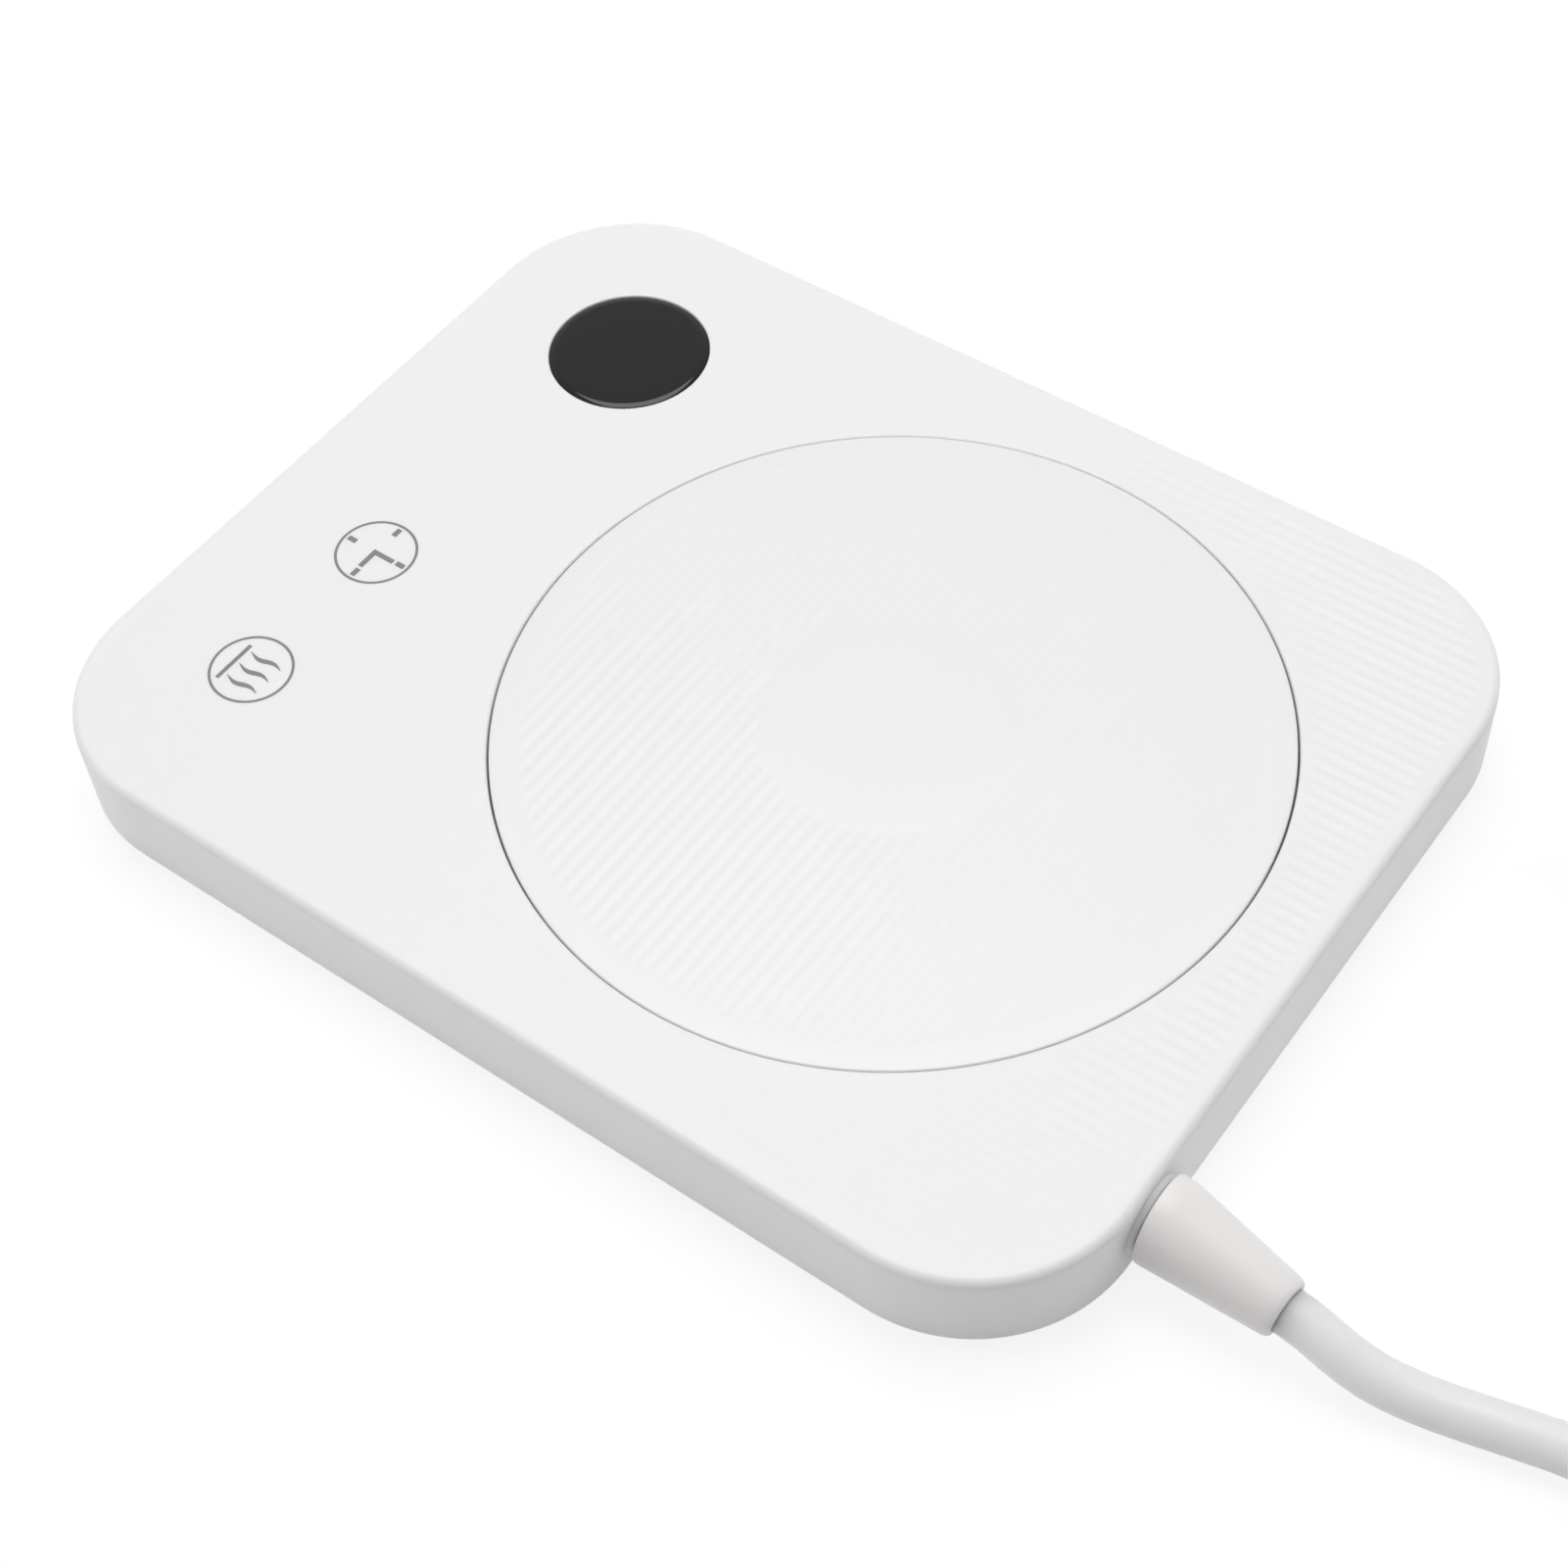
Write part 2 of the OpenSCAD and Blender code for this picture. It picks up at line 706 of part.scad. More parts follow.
module clamp_screws() {
    z = cord_z + cord_r + clamp_t;
    color("silver") translate([cord_x, clamp_y, 0])
        for (sx = [-1, 1]) translate([sx * clamp_screw_x, 0, 0]) {
            disc(1.9, z, z + 0.7);
            disc(0.85, z - 5, z + eps);
        }
}

module strain_relief() {
    tip_round = 1;
    root_l = 1.4;
    taper_l = relief_l - root_l / 2 - tip_round;
    color("white") {
        // neck through the wall, with a flange behind it
        translate([cord_x, relief_root_y + 1.5, cord_z]) rotate([90, 0, 0])
            cylinder(r = neck_r, h = relief_root_y + 1.5 - rear_wall_y + seat + eps);
        translate([cord_x - 5.5, rear_wall_y - seat - 1.6, cord_z - 4.4]) cube([11, 1.6, 8.8]);
        // straight root, and a tapered length that leans with the pull of the lead
        translate([cord_x, relief_root_y + root_l, cord_z]) rotate([90, 0, 0])
            cylinder(d = relief_root_d, h = root_l);
        translate([cord_x, relief_root_y + root_l / 2, cord_z])
            rotate([-relief_droop, 0, -relief_yaw]) rotate([-90, 0, 0]) {
                cylinder(d1 = relief_root_d - 0.1, d2 = relief_tip_d, h = taper_l);
                translate([0, 0, taper_l])
                    cylinder(d1 = relief_tip_d, d2 = relief_tip_d - 1.2, h = tip_round);
            }
    }
}

module cord_lead() {
    color("white") tube([for (p = lead_steps)
        [tip_x + p[0], tip_y + p[1], cord_r + p[2] * (tip_z - cord_r)]], cord_r, 10);
}

module cord_coil() {
    inner = coil_outer_r - coil_turns * coil_pitch - cord_r;
    outer = coil_outer_r + cord_r;
    height = coil_layers * cord_d;
    round_r = 2.5;
    color("white") translate([coil_x, coil_y, 0]) rotate_extrude() {
        translate([inner + round_r, 0]) square([outer - inner - 2 * round_r, height]);
        translate([inner, round_r]) square([outer - inner, height - 2 * round_r]);
        for (x = [inner + round_r, outer - round_r]) for (z = [round_r, height - round_r])
            translate([x, z]) circle(round_r);
    }
}

module cord_tail() {
    top_turn_z = (coil_layers - 0.5) * cord_d;
    color("white") tube([for (p = tail_steps)
        [plug_x, coil_y - p[0], top_turn_z + p[1] * (plug_z - top_turn_z)]], cord_r, 10);
}

module plug_body() {
    nose = 3;
    color("white") translate([plug_x, plug_y, plug_z]) rotate([90, 0, 0]) {
        cylinder(d1 = cord_d + 1.6, d2 = cord_d + 4.4, h = plug_neck_l + eps);
        translate([0, 0, plug_neck_l]) linear_extrude(plug_l - nose) rounded_rect(plug_w, plug_h, 5);
        translate([0, 0, plug_neck_l + plug_l - nose]) linear_extrude(nose)
            rounded_rect(plug_w - 2, plug_h - 2, 4);
    }
}

module plug_blades() {
    color("silver") for (s = [-1, 1])
        translate([plug_x + s * blade_pitch / 2, plug_y - plug_neck_l - plug_l - blade_l, plug_z])
            difference() {
                translate([-blade_t / 2, 0, -blade_w / 2]) cube([blade_t, blade_l, blade_w]);
                translate([-blade_t, 3.2, 0]) rotate([0, 90, 0]) cylinder(r = 1.5, h = 2 * blade_t);
            }
}

top_casing();
bottom_cover();
rubber_feet();
cover_screws();
warming_plate();
plate_carrier();
plate_screws();
heater_mat();
insulation_pad();
thermal_fuse();
temperature_sensor();
plate_springs();
switch_body();
switch_plunger();
switch_board();
switch_connector();
switch_lead();
control_board();
board_screws();
display_lens();
display_module();
touch_springs();
controller_chip();
buzzer();
filter_capacitor();
smoothing_capacitor();
mains_fuse();
triac();
mains_terminal();
heater_connector();
mains_wires();
heater_leads();
cord_sheath_end();
cord_clamp();
clamp_screws();
strain_relief();
cord_lead();
cord_coil();
cord_tail();
plug_body();
plug_blades();
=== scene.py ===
"""Electric mug warmer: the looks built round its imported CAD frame.

Sizes are in millimetres and are turned into metres where a mesh or curve is filled.
The front, with the display and the keys, is -Y; the lead leaves at the rear, +Y.
"""
import json
import math

import bmesh
import bpy
import numpy as np
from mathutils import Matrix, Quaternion, Vector


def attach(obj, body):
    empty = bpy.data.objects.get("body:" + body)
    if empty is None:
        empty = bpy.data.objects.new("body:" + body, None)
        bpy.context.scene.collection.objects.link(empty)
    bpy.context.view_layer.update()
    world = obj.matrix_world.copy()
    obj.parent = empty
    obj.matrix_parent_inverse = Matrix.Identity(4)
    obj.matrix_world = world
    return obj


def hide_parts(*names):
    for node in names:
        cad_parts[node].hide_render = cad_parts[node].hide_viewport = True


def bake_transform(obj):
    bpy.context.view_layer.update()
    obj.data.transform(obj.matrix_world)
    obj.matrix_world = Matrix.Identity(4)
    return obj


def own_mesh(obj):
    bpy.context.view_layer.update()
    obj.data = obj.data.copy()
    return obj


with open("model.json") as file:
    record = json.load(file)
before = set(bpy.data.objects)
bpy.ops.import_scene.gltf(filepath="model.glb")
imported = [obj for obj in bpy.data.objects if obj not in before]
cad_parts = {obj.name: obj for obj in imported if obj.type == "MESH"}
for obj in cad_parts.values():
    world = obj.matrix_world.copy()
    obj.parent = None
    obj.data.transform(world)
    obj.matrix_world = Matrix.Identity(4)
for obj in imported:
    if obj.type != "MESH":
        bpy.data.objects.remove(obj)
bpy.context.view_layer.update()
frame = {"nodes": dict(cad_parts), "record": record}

MM = 0.001
TURN = 2 * math.pi
TINY = 1e-7

# Housing
CORE_X = 44.0           # the corners' centres, from the middle
CORE_Y = 61.5
CORNER_R = 23.5
TOP_Z = 15.5
CEILING_Z = 13.7
RIM_Z = 1.4
COVER_TOP_Z = 3.8
BOARD_TOP_Z = 7.2
WALL_T = 2.2
TOP_ROUND = 1.3
RIM_ROUND = 0.6
BORDER_W = 2.6          # smooth border between the top edge and the ribbed field
FIELD_REACH = CORNER_R - BORDER_W
INNER_REACH = CORNER_R - WALL_T

# Screw bosses and feet, from the middle of the housing
COVER_SCREW_X = 56.0
COVER_SCREW_Y = 73.5
BOARD_SCREW_X = 46.5
BOARD_SCREWS_Y = (-74.0, -46.0)
FOOT_X = 48.0
FOOT_Y = 58.0
FOOT_R = 6.0
FOOT_ROUND = 0.7
FOOT_SEAT_Z = 2.6

# Warming plate and its opening
PLATE_X = -0.8
PLATE_Y = 18.3
PLATE_R = 55.1
PLATE_OVAL = 0.12       # how far the pressed plate is out of round
PLATE_LONG_WAY = math.radians(30)
PLATE_Z = 13.5          # its underside
PLATE_ROLL = 0.03       # how far the rim rolls down
PLATE_ROUND = 0.25
OPENING_R = 55.3
OPENING_ROUND = 0.35
COLLAR_R = 57.05
COLLAR_Z = 12.2
CARRIER_TOP_Z = 11.9
PLATE_FIELD_R = 51.6
PLATE_DISC_R = 17.5
STUD_RING_R = 47.5

# Springs on the guide posts, and the heater's leads
POST_RING_R = 36.0
SPRING_FOOT_Z = COVER_TOP_Z + 0.05
SPRING_HEAD_Z = 10.65
SPRING_R = 4.58
SPRING_WIRE = 0.5
SPRING_TURNS = 5
HEATER_LEAD_D = 1.4

# Ribs of the casing run front to rear, those of the plate left to right
RIB_PITCH = 2.0
CASING_RIB_DEPTH = 0.08
PLATE_RIB_DEPTH = 0.07
RIB_END = 1.0           # length over which a rib runs out
RIBS_OFF_OPENING = 1.2
RIBS_FROM_Y = -12.0     # the casing's ribs deepen from here
RIBS_DEEPEN = 55.0      # over this length

# Display and keys
LENS_X = -39.1
LENS_Y = -57.0
LENS_R = 12.3
LENS_SEAT_R = 12.4
LENS_SEAT_Z = 14.3
WINDOW_R = 10.3
KEY_Y = -61.9
CLOCK_X = 14.3
HEAT_X = 41.0
KEY_RING_R = 5.93
KEY_RING_W = 0.41
PRINT_T = 0.015
PRINT_ROOT = 0.05       # how far a print reaches into the skin

# Mains lead
CORD_D = 6.2
EXIT_X = 39.7
EXIT_Z = 8.4
BOOT_Y = 86.45
BOOT_L = 18.5
BOOT_ROOT_L = 1.4
TIP = np.array([41.12, 104.90, 7.27])
COIL_X = -8.98
COIL_Y = 187.9
COIL_R = 44.4
COIL_TURNS = 3
COIL_PITCH = 1.02 * CORD_D
PLUG_X = -53.38
PLUG_Y = 162.9
PLUG_Z = 8.0
PLUG_NECK_L = 18.0
PLUG_BODY_L = 27.0
PLUG_W = 24.0
PLUG_H = 16.0


# ---------- Camera ----------

def place_camera():
    """Stands where the rear right corner is nearest, looks down at the middle of the housing,
    and leans a little to one side."""
    spot = Vector((193.88, 158.84, 312.42)) * MM
    aim = Vector((6.165, 4.546, 0.0)) * MM
    lean = math.radians(-4.218)
    data = bpy.data.cameras.new("camera")
    data.sensor_width = 36.0
    data.lens = 64.23
    data.clip_start = 0.01
    camera = bpy.data.objects.new("camera", data)
    camera.location = spot
    camera.rotation_mode = "QUATERNION"
    look = (aim - spot).to_track_quat("-Z", "Y")
    camera.rotation_quaternion = look @ Quaternion((0.0, 0.0, 1.0), lean)
    bpy.context.scene.collection.objects.link(camera)
    bpy.context.scene.camera = camera


place_camera()


# ---------- Meshes from grids of points ----------

def smooth(t):
    """0 below 0, 1 above 1, and an even S between."""
    t = np.clip(t, 0, 1)
    return t * t * (3 - 2 * t)


def arc(middle, radius, start, finish, steps):
    """Points of a profile on a circle, from one angle to another in degrees."""
    a = np.radians(np.linspace(start, finish, steps + 1))
    return np.stack([middle[0] + radius * np.cos(a), middle[1] + radius * np.sin(a)], axis=-1)


def closed(loop):
    """The loop with its first point again at its end."""
    return np.concatenate([loop, loop[:1]])


def piece(name, grids, body, finish, stands_for=(), crease=32.0):
    """Makes one mesh of the grids, each of rows x columns x 3 points. Grids that meet share the
    points of their common edge, which are merged; the faces are then turned outwards, and edges
    that bend by more than the crease, in degrees, stay sharp. A piece with no body is attached
    to none."""
    faces = []
    first = 0
    for grid in grids:
        rows, columns = grid.shape[:2]
        index = first + np.arange(rows * columns).reshape(rows, columns)
        corners = [index[:-1, :-1], index[1:, :-1], index[1:, 1:], index[:-1, 1:]]
        faces.append(np.stack(corners, axis=-1).reshape(-1, 4))
        first += rows * columns
    points = np.concatenate([grid.reshape(-1, 3) for grid in grids]) * MM
    mesh = bpy.data.meshes.new(name)
    mesh.from_pydata(points.tolist(), [], np.concatenate(faces).tolist())
    work = bmesh.new()
    work.from_mesh(mesh)
    bmesh.ops.remove_doubles(work, verts=work.verts, dist=0.002 * MM)
    bmesh.ops.recalc_face_normals(work, faces=work.faces)
    work.to_mesh(mesh)
    work.free()
    mesh.shade_smooth()
    mesh.set_sharp_from_angle(angle=math.radians(crease))
    if finish:
        mesh.materials.append(finish)
    thing = bpy.data.objects.new(name, mesh)
    bpy.context.scene.collection.objects.link(thing)
    if body:
        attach(thing, body)
    if stands_for:
        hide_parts(*stands_for)
    return thing


def turned(profile, centre, axis="z", sides=96):
    """A profile of (radius, height) turned round an upright or a front-to-rear axis."""
    profile = np.asarray(profile, float)
    a = np.linspace(0, TURN, sides + 1)
    out = profile[:, :1] * np.cos(a)
    side = profile[:, :1] * np.sin(a)
    along = np.broadcast_to(profile[:, 1:], out.shape)
    parts = [out, side, along] if axis == "z" else [out, along, side]
    grid = np.stack(parts, axis=-1)
    grid[:, -1] = grid[:, 0]
    return grid + np.asarray(centre, float)


def sections(path, ahead, rows, sides=72):
    """Sections carried along a path, square to the way ahead. A row is (place, half width w,
    half height h, fullness n), and a section is the superellipse x = w |cos a|^(2/n),
    z = h |sin a|^(2/n), with the signs of the cosine and the sine."""
    ahead = ahead / np.linalg.norm(ahead, axis=1, keepdims=True)
    across = np.cross(ahead, [0.0, 0.0, 1.0])
    across /= np.linalg.norm(across, axis=1, keepdims=True)
    up = np.cross(across, ahead)
    power = 2.0 / rows[:, 3:4]
    a = np.linspace(0, TURN, sides + 1)[None, :]
    wide = rows[:, 1:2] * np.sign(np.cos(a)) * np.abs(np.cos(a)) ** power
    tall = rows[:, 2:3] * np.sign(np.sin(a)) * np.abs(np.sin(a)) ** power
    grid = path[:, None] + wide[..., None] * across[:, None] + tall[..., None] * up[:, None]
    grid[:, -1] = grid[:, 0]
    return grid


# ---------- Mains lead ----------

def spiral(start, finish, first_r, last_r, first_z, last_z, steps):
    """Points on a flat spiral round the coil's centre: the radius and the height change evenly
    with the angle, which runs from start to finish, in turns."""
    share = np.linspace(0, 1, steps + 1)[1:]
    angle = TURN * (start + (finish - start) * share)
    radius = first_r + (last_r - first_r) * share
    return np.stack([
        COIL_X + radius * np.cos(angle),
        COIL_Y + radius * np.sin(angle),
        first_z + (last_z - first_z) * share,
    ], axis=-1)


def lead_route():
    """Centre line of the lead: from the boot's tip down to the table, along it, into a coil of
    two layers from the outside in and out again, and down from the top turn into the plug."""
    # Each step from the tip is (X, Y, share of the tip's height above the table)
    steps = np.array([
        [0, -0.1, 1], [0.2, 3, 0.93], [0.4, 6, 0.74], [0.4, 9, 0.48], [0.2, 12, 0.26],
        [-0.3, 15, 0.1], [-1.1, 19, 0.01], [-2, 23, 0], [-3, 27, 0], [-4, 31, 0],
        [-4.9, 35, 0], [-5.4, 40, 0], [-5.65, 47, 0], [-5.7, 55, 0], [-5.7, 63, 0],
        [-5.7, 69, 0]])
    low = CORD_D / 2
    lead = np.stack([
        TIP[0] + steps[:, 0],
        TIP[1] + steps[:, 1],
        low + steps[:, 2] * (TIP[2] - low)], axis=-1)
    high = 1.5 * CORD_D
    inner_r = COIL_R - COIL_TURNS * COIL_PITCH
    per_turn = 16
    entry = np.array([[COIL_X + COIL_R, COIL_Y, low]])
    lower = spiral(0, COIL_TURNS, COIL_R, inner_r, low, low, COIL_TURNS * per_turn)
    climbed = COIL_TURNS + 0.5
    climb = spiral(COIL_TURNS, climbed, inner_r, inner_r, low, high, per_turn // 2)
    upper = spiral(
        climbed, climbed + COIL_TURNS, inner_r, COIL_R, high, high, COIL_TURNS * per_turn)
    # Each step to the plug is (way towards the front, share of the way down to the plug)
    drop = np.array([[7, 0], [14, 0], [17, 0.1], [20, 0.4], [23, 0.85], [26, 1]])
    tail = np.stack([
        np.full(len(drop), PLUG_X),
        COIL_Y - drop[:, 0],
        high + drop[:, 1] * (PLUG_Z - high)], axis=-1)
    return np.concatenate([lead, entry, lower, climb, upper, tail])


def rounded(points, steps=6):
    """A smooth line through points, with this many steps from each to the next: the cubic
    through both that leaves each along the chord of its neighbours."""
    slope = np.gradient(points, axis=0)
    gap = np.linalg.norm(np.diff(points, axis=0), axis=1)
    slope = slope / np.linalg.norm(slope, axis=1, keepdims=True)
    start, finish = points[:-1, None], points[1:, None]
    leave = slope[:-1, None] * gap[:, None, None]
    arrive = slope[1:, None] * gap[:, None, None]
    t = np.linspace(0, 1, steps + 1)[None, :-1, None]
    line = ((2 * t ** 3 - 3 * t ** 2 + 1) * start + (t ** 3 - 2 * t ** 2 + t) * leave
            + (3 * t ** 2 - 2 * t ** 3) * finish + (t ** 3 - t ** 2) * arrive)
    return np.concatenate([line.reshape(-1, 3), points[-1:]])


def tube(line, diameter, sides=24):
    """A round tube along the line, closed at both ends."""
    ahead = np.gradient(line, axis=0)
    radius = np.full(len(line) + 2, diameter / 2)
    radius[[0, -1]] = 0
    rows = np.stack([radius, radius, radius, np.full(len(radius), 2.0)], axis=-1)
    line = np.concatenate([line[:1], line, line[-1:]])
    ahead = np.concatenate([ahead[:1], ahead, ahead[-1:]])
    return sections(line, ahead, rows, sides)


lead_line = rounded(lead_route())
mains_lead = piece("mains_lead", [tube(lead_line, CORD_D)], "base", None,
                   ["cord_lead", "cord_coil", "cord_tail"])


# ---------- Strips of a field, and edges carried round it ----------

def close_to_ends(middle, radius, step, reach):
    """Places near both ends of a circle's width, where its edge turns away: the middle plus and
    minus radius cos(a), for angles up to reach in degrees."""
    a = np.radians(np.arange(0, reach, step))
    return np.concatenate([middle - radius * np.cos(a), middle + radius * np.cos(a)])


def places(fixed, low, high, step):
    """Places from low to high: the fixed ones, and even steps that keep clear of them."""
    fixed = np.unique(fixed)
    even = np.arange(low + step, high, step)
    clear = np.abs(even[:, None] - fixed[None, :]).min(axis=1) > 0.25 * step
    return np.sort(np.concatenate([fixed, even[clear]]))


def half_chord(place, middle, radius):
    """Half the length of a circle's chord at each place, and nothing outside the circle."""
    away = np.abs(place - middle)
    inside = away < radius - TINY
    return np.where(inside, np.sqrt(np.maximum(radius ** 2 - away ** 2, 0)), 0.0)


def stations(low, high, near=(0, 0.3, 0.6, 0.9, 1.3, 2.0), middle=3):
    """Places along each strip from low to high, close together near both ends."""
    near = np.asarray(near, float)
    scale = np.minimum(1, (high - low) / (3 * near[-1]))[:, None]
    start = low[:, None] + near * scale
    finish = high[:, None] - near[::-1] * scale
    share = np.linspace(0, 1, middle + 2)[1:-1]
    between = start[:, -1:] + (finish[:, :1] - start[:, -1:]) * share
    return np.concatenate([start, between, finish], axis=1)


def in_plan(x, y):
    """Points in plan from places along X and Y that may be a row, a column or both."""
    return np.stack(np.broadcast_arrays(x, y), axis=-1)


def at_height(plan, z):
    """Plan points raised to a height."""
    heights = np.broadcast_to(np.asarray(z)[..., None], plan.shape[:-1] + (1,))
    return np.concatenate([plan, heights], axis=-1)


def top_strips(x, reach, opening_r, lens_r):
    """Strips along Y at each x, from the front border to the lens, on to the opening, and from
    there to the rear border. Where there is no lens or opening the strips meet."""
    border = CORE_Y + half_chord(np.maximum(np.abs(x), CORE_X), CORE_X, reach)
    lens = half_chord(x, LENS_X, lens_r)
    opening = half_chord(x, PLATE_X, opening_r)
    ends = [
        (-border, LENS_Y - lens),
        (LENS_Y + lens, PLATE_Y - opening),
        (PLATE_Y + opening, border)]
    return [in_plan(x[:, None], stations(low, high)) for low, high in ends]


def border_loop(front, middle, rear):
    """The outer border of three strips, anticlockwise from the front left."""
    right = np.concatenate([front[-1, 1:], middle[-1, 1:], rear[-1, 1:]])
    left = np.concatenate([rear[0, -2::-1], middle[0, -2::-1], front[0, -2:0:-1]])
    return closed(np.concatenate([front[:, 0], right, rear[-2::-1, -1], left]))


def hole_loop(lower, upper, inside):
    """The edge of a hole between two strips, anticlockwise from its left end."""
    return closed(np.concatenate([lower[inside], upper[inside][-2:0:-1]]))


def carried(loop, centres, profile):
    """A profile of (reach, height) carried round a loop: each point is its centre plus the
    reach along the way from the centre to the loop."""
    out = loop - centres
    out /= np.linalg.norm(out, axis=-1, keepdims=True)
    profile = np.asarray(profile, float)
    plan = centres + profile[:, :1, None] * out
    return at_height(plan, np.broadcast_to(profile[:, 1:], plan.shape[:-1]))


def corner_centres(loop):
    """The nearest point of the rectangle that joins the corners' centres."""
    limit = np.array([CORE_X, CORE_Y])
    return np.clip(loop, -limit, limit)


# ---------- Finishes ----------

def colour(text):
    """Linear colour of an sRGB hex value."""
    part = [int(text[i:i + 2], 16) / 255 for i in (1, 3, 5)]
    return [v / 12.92 if v <= 0.04045 else ((v + 0.055) / 1.055) ** 2.4 for v in part] + [1.0]


def per_mm(size):
    """Scale of a pattern whose features are this many millimetres across."""
    return 1 / (size * MM)


def add(tree, kind, settings=None, links=None):
    """Adds a node. Settings go to its properties or its sockets; links join its sockets to the
    named outputs of other nodes."""
    node = tree.nodes.new("ShaderNode" + kind)
    for key, value in (settings or {}).items():
        if isinstance(key, str) and hasattr(node, key):
            setattr(node, key, value)
        else:
            node.inputs[key].default_value = value
    for key, (source, output) in (links or {}).items():
        tree.links.new(source.outputs[output], node.inputs[key])
    return node


def base_finish(name, **skin):
    """A material with its shader, and the place on the object that patterns start from."""
    material = bpy.data.materials.new(name)
    material.use_nodes = True
    tree = material.node_tree
    tree.nodes.clear()
    shader = add(tree, "BsdfPrincipled", {key.replace("_", " "): v for key, v in skin.items()})
    add(tree, "OutputMaterial", None, {"Surface": (shader, "BSDF")})
    return material, tree, shader, add(tree, "TexCoord")


def finish(name, tone, shade, rough, grain, depth, patch=18.0, spread=0.05, stretch=(1, 1, 1),
           **skin):
    """A surface whose tone drifts towards its shade over patches, with a grain that both raises
    it by depth and varies its roughness by spread. Patch, grain and depth are in mm, and
    stretch draws the grain out: below 1 it is longer that way."""
    material, tree, shader, spot = base_finish(name, Roughness=rough, **skin)
    patches = add(
        tree, "TexNoise", {"Scale": per_mm(patch), "Detail": 3.0}, {"Vector": (spot, "Object")})
    tones = add(
        tree, "Mix", {"data_type": "RGBA", 6: colour(tone), 7: colour(shade)},
        {0: (patches, "Fac")})
    drawn = add(tree, "Mapping", {"Scale": stretch}, {"Vector": (spot, "Object")})
    fine = add(
        tree, "TexNoise", {"Scale": per_mm(grain), "Detail": 2.0}, {"Vector": (drawn, "Vector")})
    gloss = add(
        tree, "MapRange", {"To Min": max(rough - spread, 0.02), "To Max": rough + spread},
        {"Value": (fine, "Fac")})
    relief = add(
        tree, "Bump", {"Distance": depth * MM, "Strength": 1.0}, {"Height": (fine, "Fac")})
    tree.links.new(tones.outputs[2], shader.inputs["Base Color"])
    tree.links.new(gloss.outputs[0], shader.inputs["Roughness"])
    tree.links.new(relief.outputs[0], shader.inputs["Normal"])
    return material


def patterned(name, pattern, settings, tone, mark, rough, bump, place=(0, 0, 0)):
    """A surface with a drawn pattern, such as tracks or stripes, between its tone and its mark.
    The pattern is centred on a place in mm, and stands up by bump."""
    material, tree, shader, spot = base_finish(name, Roughness=rough)
    moved = add(
        tree, "Mapping", {"Location": [-v * MM for v in place]}, {"Vector": (spot, "Object")})
    drawn = add(tree, pattern, settings, {"Vector": (moved, "Vector")})
    tones = add(
        tree, "Mix", {"data_type": "RGBA", 6: colour(tone), 7: colour(mark)},
        {0: (drawn, "Fac")})
    relief = add(
        tree, "Bump", {"Distance": bump * MM, "Strength": 1.0}, {"Height": (drawn, "Fac")})
    tree.links.new(tones.outputs[2], shader.inputs["Base Color"])
    tree.links.new(relief.outputs[0], shader.inputs["Normal"])
    return material


def wave_scale(pitch):
    """Scale of a wave pattern that repeats every pitch mm. Blender draws the sine of 20 times
    the scaled place."""
    return TURN / (20 * pitch * MM)


